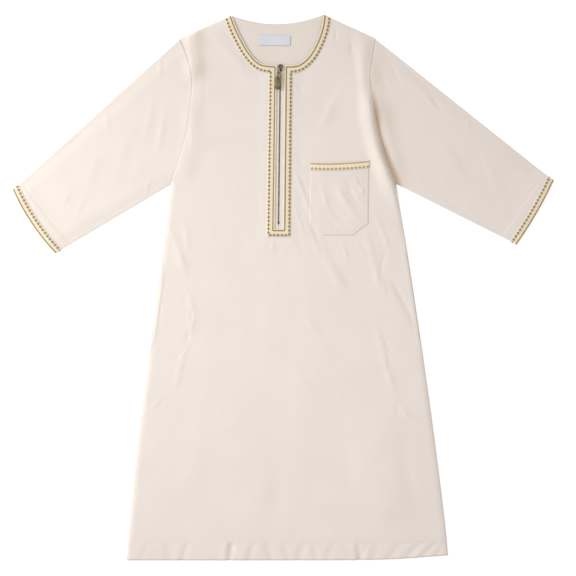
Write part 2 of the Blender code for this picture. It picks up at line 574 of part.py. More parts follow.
# ---- pockets and label ---------------------------------------------------------------------------------
def chest_pocket():
    """Patch pocket with its lower corners cut off, and the braid along its mouth."""
    foot = POCKET["foot"]
    lengths = np.hypot(*np.diff(foot, axis=0).T)
    knots = np.concatenate([[0.0], np.cumsum(lengths)]) / lengths.sum()
    columns = np.sort(np.concatenate([knots, [(knots[1] + knots[2]) / 2]]))
    low = resample(foot, columns)
    mouth = resample(POCKET["mouth"], columns)
    mouth[:, 1] -= 4.0 * POCKET["sag"] * columns * (1.0 - columns)
    left = line(low[0], mouth[0], 4)
    right = line(low[-1], mouth[-1], 4)
    plan = coons(low, mouth, left, right, columns)
    flat = np.full(plan.shape[:2], PLATEAU_Z + GAP + WALL)
    add_piece("chest_pocket", cloth_sheet(plan, flat, WALL), CLOTH)

    drop = np.array([0.0, BRAID_WIDTH])
    band = np.stack([mouth - drop, mouth])
    flat = np.full(band.shape[:2], PLATEAU_Z + 2 * GAP + WALL + BRAID_WALL)
    add_piece("pocket_braid", cloth_sheet(band, flat, BRAID_WALL), BRAID)


def side_bag(name):
    """Bag of a seam pocket, pressed flat between front and back, its mouth at the side seam."""
    sign = -1.0 if name == "right" else 1.0
    inner = smooth_curve(BAG_EDGE[name], BAG_ROWS)
    seam = smooth_curve(SIDE_RIGHT if name == "right" else SIDE_LEFT, OUTLINE_STEPS)
    outer_y = np.linspace(POCKET_MOUTH[name][1] - 4.0, inner[-1, 1] + 6.0, BAG_ROWS + 1)
    seam_x = np.interp(outer_y, seam[:, 1], seam[:, 0])
    at_mouth = mouth_opening(name, outer_y, BAG_MOUTH_FADE) * (outer_y >= POCKET_MOUTH[name][0])
    outer_x = seam_x - sign * (1.0 + (BAG_SEAM_MARGIN - 1.0) * (1.0 - at_mouth))
    outer = np.stack([outer_x, outer_y], axis=1)
    plan = np.stack([inner, (inner + outer) / 2, outer], axis=1)
    top = np.full(plan.shape[:2], SEAM_Z + AIR - GAP)
    add_piece(f"side_bag_{name}", cloth_sheet(plan, top, WALL), LINING)


def neck_label():
    """Woven label on the inside of the back's neck."""
    bm = bmesh.new()
    half_w, half_h = LABEL["width"] / 2, LABEL["height"] / 2
    box(bm, (-half_w, half_w), (-half_h, half_h), (SEAM_Z, SEAM_Z + LABEL["wall"]))
    turn = Matrix.Rotation(math.radians(LABEL["tilt"]), 4, "Z")
    place = Matrix.Translation((*LABEL["centre"], 0.0)) @ turn
    bmesh.ops.transform(bm, matrix=place, verts=bm.verts[:])
    add_piece("neck_label", bm, LABEL_CLOTH)


# ---- zip -------------------------------------------------------------------------------------------------
def zip_frame():
    """Placement of the zip's parts: origin on the zip's line at the slit's top, Y up along the zip."""
    slope = math.atan2(ZIP_TOP[0] - ZIP_FOOT[0], ZIP_TOP[1] - ZIP_FOOT[1])
    return Matrix.Translation((*ZIP_TOP, 0.0)) @ Matrix.Rotation(-slope, 4, "Z")


def zip_tapes(place):
    """The two tapes, under the slit's edges and just clear of the teeth."""
    length = math.dist(ZIP_TOP, ZIP_FOOT)
    for name, sign in (("right", -1), ("left", 1)):
        near, far = CHAIN_HALF + GAP, CHAIN_HALF + GAP + TAPE_WIDTH
        across = sorted((sign * near, sign * far))
        bm = bmesh.new()
        box(bm, across, (-length - 6.0, 0.5), TAPE_Z)
        bmesh.ops.transform(bm, matrix=place, verts=bm.verts[:])
        add_piece(f"zip_tape_{name}", bm, TAPE)


def zip_chain(place):
    """The closed teeth as one bar, and the stop below them."""
    foot = -math.dist(ZIP_TOP, ZIP_FOOT) + CHAIN_FOOT
    across = (-CHAIN_HALF, CHAIN_HALF)
    bm = bmesh.new()
    box(bm, across, (foot, CHAIN_TOP), CHAIN_Z)
    bmesh.ops.transform(bm, matrix=place, verts=bm.verts[:])
    add_piece("zip_chain", bm, TEETH)
    bm = bmesh.new()
    box(bm, across, (foot - STOP_LENGTH, foot - GAP), STOP_Z)
    bmesh.ops.transform(bm, matrix=place, verts=bm.verts[:])
    add_piece("zip_bottom_stop", bm, METAL)


def union(first, second):
    """Fuse one object into another and drop the second."""
    fuse = first.modifiers.new("union", "BOOLEAN")
    fuse.operation = "UNION"
    fuse.solver = "EXACT"
    fuse.object = second
    for collection in list(second.users_collection):
        collection.objects.unlink(second)
    CUTTERS.objects.link(second)
    second.hide_render = True
    second.display_type = "WIRE"


def extrude_profile(bm, outline, width):
    """Extrude a side profile (y, z) across x from -width to width."""
    verts = [bm.verts.new((-width, y, z)) for y, z in outline]
    face = bm.faces.new(verts)
    made = bmesh.ops.extrude_face_region(bm, geom=[face])
    moved = [item for item in made["geom"] if isinstance(item, bmesh.types.BMVert)]
    bmesh.ops.translate(bm, verts=moved, vec=(2 * width, 0.0, 0.0))


def zip_slider(place):
    """Slider: an upper and a lower plate joined by the post that parts the teeth, and the bail."""
    low, (plate_low, plate_top) = SLIDER["low"], SLIDER["top"]
    front, back = SLIDER["front"], SLIDER["back"]
    post_back = front - 2.6
    bm = bmesh.new()
    profile = [(back, low), (front, low), (front, plate_top), (back, plate_top), (back, plate_low),
               (post_back, plate_low), (post_back, low + SLIDER["plate"]), (back, low + SLIDER["plate"])]
    extrude_profile(bm, profile, SLIDER["half"])
    bmesh.ops.transform(bm, matrix=place, verts=bm.verts[:])
    bmesh.ops.recalc_face_normals(bm, faces=bm.faces[:])
    body = add_piece("zip_slider", bm, METAL)

    near, far, leg, top, bar = (BAIL[key] for key in ("near", "far", "leg", "top", "bar"))
    sunk = plate_top - 0.4
    bm = bmesh.new()
    arch = [(near, sunk), (near + leg, sunk), (near + leg, top - bar), (far - leg, top - bar),
            (far - leg, sunk), (far, sunk), (far, top - 0.6), (far - 0.8, top), (near + 0.8, top),
            (near, top - 0.6)]
    extrude_profile(bm, arch, BAIL["half"])
    bmesh.ops.transform(bm, matrix=place, verts=bm.verts[:])
    union(body, add_piece("zip_bail", bm, METAL))


def pull_axis(place):
    """World point of the pull's hinge, in millimetres."""
    return place @ Vector((0.0, -PULL["axis_back"], PULL["axis_z"]))


def zip_pull(place):
    """Pull: a rod through the bail, two side rails, a neck with a hole, and the wider tab."""
    half, window, rod = PULL["half_link"], PULL["window"], PULL["rod"]
    neck, tab = PULL["neck"], PULL["half_tab"]
    length = PULL["length"]
    outline = [(-half, 0.0), (-half, -neck), (-tab + 0.6, -neck), (-tab, -neck - 0.6),
               (-tab, -length + 1.2), (-tab + 1.2, -length), (tab - 1.2, -length), (tab, -length + 1.2),
               (tab, -neck - 0.6), (tab - 0.6, -neck), (half, -neck), (half, 0.0)]
    bm = bmesh.new()
    face = bm.faces.new([bm.verts.new((x, y, -rod)) for x, y in outline])
    made = bmesh.ops.extrude_face_region(bm, geom=[face])
    moved = [item for item in made["geom"] if isinstance(item, bmesh.types.BMVert)]
    bmesh.ops.translate(bm, verts=moved, vec=(0.0, 0.0, 2 * rod))
    turn = Matrix.Rotation(math.radians(PULL["skew"]), 4, "Z")
    origin = pull_axis(place)
    seat = Matrix.Translation(origin) @ place.to_3x3().to_4x4() @ turn
    bmesh.ops.transform(bm, matrix=seat, verts=bm.verts[:])
    pull = add_piece("zip_pull", bm, METAL, origin)

    cutter = bmesh.new()
    inside = PULL["half_window"]
    box(cutter, (-inside, inside), (-window, -rod), (-3.0, 3.0))
    bmesh.ops.create_cone(cutter, cap_ends=True, segments=12, radius1=PULL["hole"], radius2=PULL["hole"],
                          depth=6.0, matrix=Matrix.Translation((0.0, -PULL["hole_at"], 0.0)))
    bmesh.ops.transform(cutter, matrix=seat, verts=cutter.verts[:])
    hollow = add_piece("pull_window", cutter, METAL, origin)
    cut = pull.modifiers.new("window", "BOOLEAN")
    cut.operation = "DIFFERENCE"
    cut.solver = "EXACT"
    cut.object = hollow
    PARTS.objects.unlink(hollow)
    CUTTERS.objects.link(hollow)
    hollow.hide_render = True
    hollow.display_type = "WIRE"

    rod_mesh = bmesh.new()
    along_x = Matrix.Rotation(math.pi / 2, 4, "Y")
    bmesh.ops.create_cone(rod_mesh, cap_ends=True, segments=12, radius1=rod, radius2=rod,
                          depth=2 * half, matrix=along_x)
    bmesh.ops.transform(rod_mesh, matrix=seat, verts=rod_mesh.verts[:])
    union(pull, add_piece("pull_rod", rod_mesh, METAL, origin))


for old in list(bpy.data.objects):
    bpy.data.objects.remove(old, do_unlink=True)

PARTS = bpy.data.collections.new("thobe")
CUTTERS = bpy.data.collections.new("cutters")
bpy.context.scene.collection.children.link(PARTS)
bpy.context.scene.collection.children.link(CUTTERS)

CLOTH = material("thobe_cloth", CLOTH_COLOUR, 0.85)
LINING = material("pocket_lining", CLOTH_COLOUR, 0.9)
BRAID = material("gold_braid", GOLD_THREAD, 0.45, 0.3)
TAPE = material("zip_tape", CLOTH_COLOUR, 0.8)
LABEL_CLOTH = material("label_cloth", LABEL_COLOUR, 0.6)
METAL = material("antique_brass", ANTIQUE_BRASS, 0.35, 1.0)
TEETH = material("zip_teeth", ANTIQUE_BRASS, 0.4, 1.0)

back_panel()
front_pieces()
for wearer_side in ("right", "left"):
    sleeve_pieces(wearer_side)
    side_bag(wearer_side)
chest_pocket()
neck_label()
ZIP = zip_frame()
zip_tapes(ZIP)
zip_chain(ZIP)
zip_slider(ZIP)
zip_pull(ZIP)
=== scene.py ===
"""Looks of the child's thobe: fine cloth shells, gold embroidery, zip, stitching, light and camera."""
import math

import bmesh
import bpy
import numpy as np
from mathutils import Matrix, Vector, noise


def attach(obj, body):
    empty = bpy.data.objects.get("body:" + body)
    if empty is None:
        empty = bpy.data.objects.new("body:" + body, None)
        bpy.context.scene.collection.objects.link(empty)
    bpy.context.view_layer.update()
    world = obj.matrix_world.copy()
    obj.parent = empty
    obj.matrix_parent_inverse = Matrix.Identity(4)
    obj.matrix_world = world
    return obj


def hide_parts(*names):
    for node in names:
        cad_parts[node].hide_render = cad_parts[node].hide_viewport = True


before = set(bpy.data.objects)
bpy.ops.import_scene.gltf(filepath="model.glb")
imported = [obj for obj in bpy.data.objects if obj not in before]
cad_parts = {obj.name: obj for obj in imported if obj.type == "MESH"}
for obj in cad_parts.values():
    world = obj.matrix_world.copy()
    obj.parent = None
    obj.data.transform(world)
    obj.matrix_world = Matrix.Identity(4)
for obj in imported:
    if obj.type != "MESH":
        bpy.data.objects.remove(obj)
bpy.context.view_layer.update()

MM = 0.001
FAR = 1e9

# ---- the robe's sizes, in millimetres, as its solids have them -----------------------------------
NAMES = {-1: "right", 1: "left"}
SIGNS = {"right": -1.0, "left": 1.0}
WALL = 1.2
GAP = 0.3
SEAM_Z = WALL + GAP
BRAID_WIDTH = 13.0
ZIP_TOP = (-4.0, 351.5)
ZIP_FOOT = (-7.2, 93.2)
ZIP_LENGTH = math.dist(ZIP_TOP, ZIP_FOOT)
SLIT_HALF_TOP = 6.3
SLIT_HALF_FOOT = 6.8
SLIT_SHIFT = 0.5
SLIT_CORNER_RISE = {-1: 3.0, 1: 3.4}
CENTRE_HEM_X = -12.0
BACK_NECK_DIP = 14.2

NECK = {
    "right": [(-82.0, 434.4), (-73.8, 412.8), (-64.4, 394.1), (-54.9, 377.8), (-44.3, 364.8),
              (-33.0, 356.8), (-20.0, 354.9)],
    "left": [(64.6, 436.2), (62.4, 418.1), (56.6, 398.9), (46.4, 377.8), (35.0, 363.6),
             (22.5, 355.4), (12.0, 354.3)],
}
ARMHOLE = {
    "right": [(-180.2, 164.5), (-166.6, 203.0), (-153.6, 250.0), (-146.6, 300.0), (-145.6, 336.0),
              (-153.0, 369.0), (-164.8, 398.1)],
    "left": [(180.8, 165.3), (163.6, 214.0), (151.4, 262.0), (142.4, 304.0), (138.8, 336.0),
             (142.0, 366.0), (147.2, 398.1)],
}
SIDE = {
    "right": [(-250.0, -436.3), (-244.6, -366.0), (-228.6, -212.0), (-199.8, 0.0), (-180.2, 164.5)],
    "left": [(264.0, -428.3), (257.8, -366.0), (238.4, -212.0), (207.6, 0.0), (180.8, 165.3)],
}
HEM = [(-250.0, -436.3), (-90.0, -436.3), (70.0, -436.3), (175.0, -434.6), (264.0, -428.3)]
HEM_LOW = HEM[0][1]
SLEEVES = {
    "right": {"cuff_top": (-432.0, 156.0), "cuff_foot": (-364.4, 54.6), "bow": 5.0},
    "left": {"cuff_top": (432.8, 170.4), "cuff_foot": (373.6, 68.2), "bow": 2.4},
}
POCKET = {"foot": [(42.1, 101.3), (62.4, 83.2), (112.0, 83.2), (136.4, 102.0)],
          "mouth": [(44.3, 199.4), (137.6, 203.0)]}
POCKET_MOUTH = {"right": (-72.0, 8.0), "left": (-76.0, 48.0)}
BAG_EDGE = {
    "right": [(-160.0, 38.0), (-149.0, 4.0), (-147.0, -42.0), (-154.0, -88.0), (-165.0, -142.0),
              (-186.0, -178.0), (-210.0, -192.0)],
    "left": [(162.0, 40.0), (153.6, 5.0), (153.2, -60.0), (166.0, -100.0), (174.0, -142.0),
             (187.0, -184.0), (214.0, -198.0)],
}

# ---- how the cloth lies: heights, and the reaches over which it comes to them --------------------
AIR = 1.5
SEAM_RISE = 9.0
SHOULDER_RISE = 16.0
ARMHOLE_SINK = {"right": 0.05, "left": 0.9}
ARMHOLE_RISE = {"right": 9.0, "left": 16.0}
FOLD_POINT = 1.6
FOLD_FADE = 0.34
FOLD_UNEVEN = {"share": 0.3, "turns": 11.0, "shift": 5.0}
FOLD_INSET = 5.0
# painted shade: the cloth is darkened and warmed in the lee of its folds, fully where the folds towards the
# light stand this much higher, looked for at these distances towards the light
PAINTED_SHADE_DEPTH = 5.5
TO_LIGHT = (-0.92, 0.39)
LEE_STEPS = (5.0, 10.0, 15.0)
WAVES = ((0.75, 95.0, 3.0), (0.30, 36.0, 8.0), (0.09, 14.0, 23.0))     # height, spacing, seed
ZIP_RAISE = {"height": 0.6, "half": 20.0, "fade": 17.0, "below": 45.0, "end": 28.0}
BRAID_STIFF = {"half": 14.0, "fade": 20.0}
EDGE_ROLL = {"height": 0.4, "at": 4.5, "half": 2.4, "drift": (40.0, 71.0)}
EDGE_TURN = {"depth": 0.5, "reach": 2.4}
HEM_FALL = 45.0
HEM_AIR = 0.3
HEM_FLATTENING = 0.7
HEM_DEPTH = 25.6
HEM_TURN = {"step": 0.25, "slope": 3.0, "groove": 0.25, "half": 1.6}
HEM_STITCH_INSET = 1.5
PUCKER = {"middle": 12.0, "lip": 0.35, "lip_at": 2.0, "above": 5.0, "fade": 9.0}
HEM_PUCKERS = [     # across, lean, half width, depth
    (-222.0, 0.4, 5.0, 0.41), (-182.0, -0.2, 6.0, 0.81), (-157.0, 0.3, 5.0, 0.94), (-84.0, 0.1, 4.6, 2.16),
    (-78.0, -0.4, 4.0, 0.81), (-51.0, 0.3, 5.5, 0.94), (-21.0, -0.3, 6.0, 1.08), (6.0, -0.4, 5.0, 0.94),
    (29.0, 0.3, 6.0, 0.94), (52.0, -0.2, 5.0, 0.68), (75.0, 0.4, 5.0, 0.68), (122.0, -0.1, 4.4, 2.03),
    (128.0, 0.5, 4.0, 0.68), (146.0, 0.3, 5.0, 0.68), (176.0, 0.7, 6.0, 0.68), (205.0, 0.9, 6.0, 1.08),
    (229.0, 1.0, 5.5, 1.35), (247.0, 0.8, 5.0, 0.81),
]
SLIT_GATHERS = {"height": 0.38, "length": 11.0, "sway": 5.0, "sway_drift": (30.0, 61.0), "least": 0.6,
                "drift": (17.0, 67.0), "under": 3.0, "under_fade": 4.0, "out": 15.0, "out_fade": 13.0,
                "end_fade": 20.0}
MOUTH = {"air_fade": 60.0, "beyond": 100.0, "inset_fade": 22.0, "stitch_inset": 4.5, "stitch_past": 6.0,
         "stitch_points": 60}
MOUTH_INSET = {"right": 3.0, "left": 1.0}
BACK = {"rows": 180, "cells": 96, "neck_steps": 40, "level": 1.0, "waves": 0.12, "drift": (60.0, 5.0),
        "stitch_level": 0.12}
NECK_LIFT = {"height": 1.3, "from": 4.0, "fade": 46.0, "slit_from": 10.0, "slit_fade": 44.0}
SLEEVE_TUCK = 0.7
SLEEVE_DROP = 0.35
SLEEVE_DROP_FADE = {"right": 2.0, "left": 14.0}
SLEEVE_FOLD = {"rise": 22.0, "stiff": 6.0, "inset": 1.25, "reach": 1.05, "turns": 6}
SLEEVE_UNDER = 0.1
CUFF_RAMP = 26.0
CUFF_ZONE = 40.0
CUFF_LIFT = 1.3
CUFF_HEM = (29.0, 27.0, 20.0)
CUFF_TURN = {"step": 0.25, "slope": 2.0, "groove": 0.3, "half": 1.4}
POCKET_STEP = 0.45
POCKET_LOWEST = 0.2
POCKET_HEM = 23.0
POCKET_SAG = 2.2
POCKET_PUFF = {"height": 0.6, "reach": 24.0, "mouth": 0.3, "mouth_reach": 30.0, "mouth_sides": 12.0}
POCKET_SEWING = ((2.0, 0.16), (6.5, 0.10))     # inset of each row and how deep it pulls the cloth
POCKET_FORM = {"sewing_half": 1.0, "hem_groove": 0.10, "hem_half": 1.2, "turn": 0.2, "turn_reach": 1.2,
               "stiff": 9.0, "waves": 0.2, "drift": (22.0, 29.0), "stitch_steps": 259,
               "stitch_rise": 0.08}
POCKET_CELLS = (62, 52)
BAG = {"rows": 40, "cells": 12, "above": 4.0, "below": 6.0, "fade": 25.0, "inset": 1.0, "open_inset": 11.0,
       "level": 2.5, "waves": 0.1, "drift": (18.0, 41.0), "seam_steps": 200}
LABEL = {"centre": (-13.2, 394.8), "width": 50.0, "height": 16.4, "tilt": -1.0, "cells": (50, 16),
         "end": 5.0, "puff": 0.55, "least": 0.6, "wave": 0.4, "wave_lengths": (7.0, 16.0),
         "end_rise": 0.15, "above": 0.75, "thickness": 0.5, "sewn_above": 1.0, "sewn_in": 1.6,
         "sewn_short": 0.8, "sewn_points": 20}

# ---- folds and creases: lower end, bend, upper end, half width on the left and right of the line
# walked upwards, height; troughs have a height below nothing -------------------------------------
FOLDS = {
    "armhole_left_roll": ((200, 104.5), (130.9, 245.3), (139.2, 328.5), 28, 12, 8.5),
    "armhole_left_shoulder": ((140.8, 245.3), (126.4, 325.3), (123.5, 443.7), 18, 38, 2.8),
    "armhole_left_swell": ((164.8, 168.5), (146.4, 216.5), (136, 264.5), 16, 12, 1.7),
    "armhole_right_low": ((-164.8, 155.7), (-148.8, 235.7), (-150.4, 318.9), 20, 30, 1.2),
    "armhole_right_roll": ((-145.6, 318.9), (-142.4, 370.1), (-158.4, 472.5), 17, 30, 3.6),
    "underarm_right_crease": ((-150, 5), (-164, 61), (-187, 111), 13, 6, 0.8),
    "underarm_right_inner": ((-146, 50), (-158, 79), (-158, 120), 7, 8, 0.5),
    "underarm_left_edge": ((194, 88), (186, 125), (178, 156), 9, 5, 0.8),
    "bag_right_edge": ((-149, -91), (-138, -43), (-152, 5), 14, 6, 0.65),
    "bag_right_turn": ((-178, -164), (-163, -128), (-149, -84), 10, 6, 0.51),
    "bag_right_foot": ((-224, -203), (-201, -190), (-174, -158), 8, 6, 0.36),
    "bag_left_edge": ((184, -187), (165, -120), (146, -52), 12, 6, 0.8),
    "bag_left_foot": ((219, -219), (200, -214), (181, -177), 7, 6, 0.43),
    "bag_left_hollow": ((218, -84), (196, -22), (165, 21), 9, 9, -1.17),
    "bag_left_high": ((157, -14), (152, 23), (128, 104), 12, 7, 0.87),
    "skirt_right_wave": ((-164.8, -340.3), (-126.4, -276.3), (-142.4, -180.3), 30, 40, 0.5),
    "skirt_middle_hollow": ((-33.6, -388.3), (11.2, -324.3), (-20.8, -244.3), 34, 38, -0.5),
    "skirt_left_wave": ((110.4, -372.3), (142.4, -292.3), (99.2, -196.3), 30, 42, 0.6),
    "skirt_left_hollow": ((216, -372.3), (187.2, -292.3), (190.4, -212.3), 26, 24, -0.5),
    "waist_diagonal_high": ((75, -113), (50, -70), (24, -20), 12, 14, 0.39),
    "waist_diagonal_low": ((59, -184), (30, -158), (2, -107), 12, 14, 0.39),
    "belly_diagonal": ((107, -20), (77, 29), (40, 98), 16, 12, 0.87),
    "chest_left_diagonal": ((56, 242), (72, 287), (101, 332), 12, 16, 0.7),
    "neck_right_fold": ((-50, 332), (-74, 363), (-123, 416), 14, 12, 0.7),
    "skirt_left_fall": ((147.2, -420.3), (174.4, -308.3), (139.2, -167.5), 70, 100, 2.0),
    "chest_right_slope": ((-148, 196), (-140, 270), (-146, 350), 12, 80, 1.0),
    "chest_left_slope": ((170, 170), (134, 250), (130, 372), 84, 10, 1.2),
    "sleeve_left_fall": ((184, 139.7), (159.7, 235.7), (138.1, 331.7), 6, 34, 2.4),
    "sleeve_left_head": ((138.4, 302.9), (138.4, 354.1), (150.4, 402.1), 5, 15, 0.6),
    "sleeve_right_wave_a": ((-202, 200), (-196, 247), (-184, 312), 11, 11, 0.5),
    "sleeve_right_wave_b": ((-222, 226), (-216, 268), (-203, 322), 11, 10, 0.35),
    "sleeve_right_wave_c": ((-318, 136), (-305, 184), (-294, 232), 14, 14, 0.3),
    "sleeve_right_wave_d": ((-270, 156), (-258, 204), (-251, 252), 17, 17, 0.3),
    "sleeve_right_head": ((-156.8, 312.5), (-153.6, 363.7), (-161.6, 398.9), 12, 7, 0.5),
    "sleeve_left_wave_a": ((306, 152), (267, 204), (242, 255), 14, 14, 0.4),
    "sleeve_left_wave_b": ((357, 130), (333, 178), (315, 226), 12, 12, 0.4),
}
CREASES = {
    "below_slit": ((-6, 47), (-9, 63), (-11, 79), 3, 3, -0.7),
    "below_slit_right": ((-18, 50), (-18, 64), (-14, 79), 4, 3, 0.5),
    "below_slit_left": ((35, 53), (26, 71), (16, 82), 4, 3.5, -0.7),
    "slit_to_pocket_high": ((46, 112), (36, 144), (16, 191), 6, 5, 0.9),
    "slit_to_pocket_hollow": ((43, 140), (34, 162), (24, 184), 3, 4, -0.7),
    "slit_to_pocket_low": ((35, 76), (26, 110), (16, 135), 6, 5, 0.7),
    "slit_to_pocket_foot": ((69, 40), (53, 84), (37, 120), 7, 8, -0.9),
    "beside_slit_high": ((37, 312), (27, 319), (18, 325), 4, 5, -0.7),
    "beside_slit_mid": ((34, 191), (28, 205), (19, 213), 4, 4, -0.5),
    "below_pocket": ((107, 40), (99, 60), (91, 77), 6, 4, 0.7),
    "below_pocket_right": ((133, 40), (125, 64), (110, 82), 6, 5, 0.5),
    "beside_pocket_right": ((174, 50), (160, 82), (146, 127), 6, 6, 0.8),
    "bag_left_crease": ((154, -1), (155, 37), (170, 76), 3.5, 3.5, -0.8),
    "bag_left_rim": ((166, -20), (160, -6), (160, 15), 4, 4, 0.6),
    "bag_left_knot": ((174, -104), (166, -92), (154, -68), 4, 4, -0.8),
    "bag_left_drop": ((174, -142), (165, -123), (168, -91), 5, 4, -0.7),
    "bag_left_dimple": ((187, -209), (182, -196), (179, -184), 4, 4, -0.7),
    "bag_left_bump": ((200, -212), (194, -201), (192, -190), 3.5, 3.5, 0.7),
    "bag_right_knot_a": ((-149, -6), (-152, 1), (-162, 5), 3, 3, 0.6),
    "bag_right_knot_b": ((-158, -20), (-164, -16), (-173, -4), 4, 3, 0.6),
    "bag_right_knot_c": ((-139, -30), (-147, -20), (-155, -17), 3, 3, 0.5),
    "bag_right_knot_d": ((-149, -59), (-142, -48), (-149, -30), 5, 4, -0.9),
    "bag_right_knot_e": ((-155, -91), (-150, -80), (-152, -67), 4, 4, -0.8),
    "bag_right_line_a": ((-170, -120), (-159, -108), (-146, -92), 3.5, 3, 0.6),
    "bag_right_line_b": ((-162, -110), (-152, -100), (-142, -91), 2.5, 3, -0.5),
    "bag_right_line_c": ((-176, -164), (-166, -148), (-157, -132), 3.5, 3, 0.6),
    "bag_right_line_d": ((-203, -190), (-194, -184), (-184, -171), 4, 3, -0.6),
    "bag_right_line_e": ((-213, -200), (-217, -184), (-218, -168), 4, 3, 0.5),
    "bag_right_lip": ((-197, -56), (-199, -37), (-192, -16), 3, 3, -0.5),
    "side_roll_left": ((251, -331), (243, -281), (235, -225), 4, 4, 0.7),
    "side_dimple_left": ((238, -260), (237, -252), (235, -244), 4, 4, -0.7),
    "skirt_spot_a": ((93, -184), (92, -172), (88, -161), 6, 6, 0.3),
    "skirt_spot_b": ((21, -212), (22, -199), (26, -188), 6, 6, 0.25),
    "skirt_spot_c": ((-99, -212), (-101, -201), (-102, -190), 6, 6, 0.25),
    "chest_right_line": ((-126, 280), (-122, 306), (-128, 332), 5, 5, -0.2),
    "neck_right_line": ((-78, 392), (-90, 403), (-101, 416), 3, 3, -0.6),
    "neck_left_line": ((82, 389), (88, 406), (82, 420), 4, 4, -0.6),
    "shoulder_left_line": ((110, 360), (110, 384), (106, 404), 7, 7, -0.7),
    "sleeve_right_top_a": ((-198, 335), (-195, 354), (-198, 373), 4, 4.5, 0.9),
    "sleeve_right_top_b": ((-272, 232), (-282, 263), (-285, 287), 9, 8, 0.35),
    "sleeve_right_top_c": ((-238, 300), (-232, 316), (-232, 332), 6, 6, 0.3),
    "sleeve_right_low": ((-218, 143), (-220, 157), (-210, 178), 6, 6, 0.35),
    "sleeve_right_cuff_a": ((-358, 117), (-346, 138), (-338, 165), 7, 7, 0.25),
    "sleeve_right_cuff_b": ((-334, 104), (-322, 130), (-314, 156), 7, 7, 0.25),
    "sleeve_left_tip": ((189, 306), (185, 344), (152, 391), 4, 4, -0.7),
    "sleeve_left_tip_ridge": ((181, 293), (168, 332), (155, 370), 6, 6, 0.4),
    "sleeve_left_edge": ((243, 309), (214, 340), (181, 364), 4.5, 5, -0.8),
    "sleeve_left_ridge": ((251, 280), (227, 311), (197, 335), 8, 6, 0.7),
    "sleeve_left_dent": ((261, 271), (247, 295), (230, 312), 5, 5, -0.8),
    "sleeve_left_bump": ((299, 245), (298, 261), (290, 277), 5, 5, 0.5),
    "sleeve_left_under": ((306, 112), (267, 136), (222, 162), 5, 6, -0.9),
    "sleeve_left_cuff_a": ((350, 88), (347, 96), (338, 111), 4, 4, -0.7),
    "sleeve_left_cuff_b": ((370, 98), (364, 111), (355, 124), 4, 4, 0.5),
    "sleeve_left_cuff_c": ((382, 146), (371, 162), (366, 178), 6, 5, -0.5),
    "sleeve_left_mid": ((280, 146), (262, 165), (251, 184), 8, 8, 0.25),
}
POCKET_CREASES = {
    "ridge_high": ((123.2, 104.5), (97.6, 139.7), (81.6, 168.5), 15, 10, 1.56),
    "trough_high": ((132.8, 117.3), (107.2, 146.1), (99.2, 181.3), 9, 6, -0.9),
    "ridge_right": ((132.8, 146.1), (123.2, 158.9), (112, 181.3), 6, 6, 1.04),
    "trough_low": ((104, 99.7), (83.2, 117.3), (70.4, 136.5), 9, 9, -0.65),
    "trough_foot": ((91.2, 91.7), (80, 104.5), (59.2, 112.5), 6, 6, -0.5),
    "trough_mouth": ((129.6, 155.7), (118.4, 170.1), (110.4, 187.7), 4, 4, -0.7),
    "ridge_left": ((75.2, 117.3), (64, 146.1), (60.8, 174.9), 8, 8, 0.65),
}

# ---- fineness of the shells ----------------------------------------------------------------------
SIDE_CELLS = 72
BAND_CELLS = 6
SLIT_CELLS = 4
SKIRT_ROWS = 158
FOOT_ROWS = 6
SLIT_ROWS = 22
CHEST_ROWS = 58
NECK_ROWS = 38
ARMHOLE_ROWS = CHEST_ROWS + NECK_ROWS
WAIST = SKIRT_ROWS + FOOT_ROWS + SLIT_ROWS
SLEEVE_ROWS = 100
CUFF_ROWS = 30
SLEEVE_CELLS = 76
HEM_STEPS = 80
SEAM_STEPS = 24
EDGE_STEPS = 12             # of a line that only distances are taken to
CURVE_STEPS = 24            # points worked out between two given points of a smooth curve
FOLD_STEPS = 49             # places along a fold's line that its distance is taken to
CLOTH = 0.8                 # thickness of the cloth as it is seen
DOUBLED = CLOTH - 0.1       # thickness of a piece that lies on or under another

# ---- embroidery: places are distances from the braid's edge --------------------------------------
BRAID_GROUND = 0.4
BRAID_ROWS = 8
BRAID_SUNK = 0.1
BORDER_AT, BORDER_WIDTH, BORDER_RISE = 8.6, 3.6, 0.04
THREAD = 0.62
SATIN_WIDE = 1.2            # width of a satin thread as a share of the threads' step
SATIN_SLANT = 0.25
LOOK_AHEAD = 0.3
PATH_STEP = 1.5
STITCH_RISE = 0.1
STITCH_FLAT = 0.8
MOTIF_PITCH = 6.2
MOTIF_THREADS = (1.8, 3.5, 4.9, 5.5, 4.9, 3.5, 1.8)
MOTIF_SPREAD = 1.1
MOTIF_WIDE = 1.25
MOTIF_CROWN = (0.55, 0.45)
MOTIF_LINK = (3.0, 0.5, 0.45)
NECK_BRAID = {"edge_at": 0.75, "edge": 1.7, "gold_at": 2.8, "gold": 2.6, "tall": 0.9, "motif_at": 9.7}
POCKET_BRAID = {"edge_at": 0.4, "edge": 0.9, "edge_tall": 0.7, "gold_at": 2.0, "gold": 2.6, "tall": 0.9,
                "motif_at": 9.4, "first": 0.2, "cells": 46, "steps": 60, "insets": (1.2, 0.6)}
CUFF_BRAID = {"edge_at": 0.1, "edge": 0.9, "edge_tall": 0.6, "gold_at": 1.6, "gold": 2.6, "tall": 0.7,
              "motif_at": 8.8, "motif_tall": 0.6}

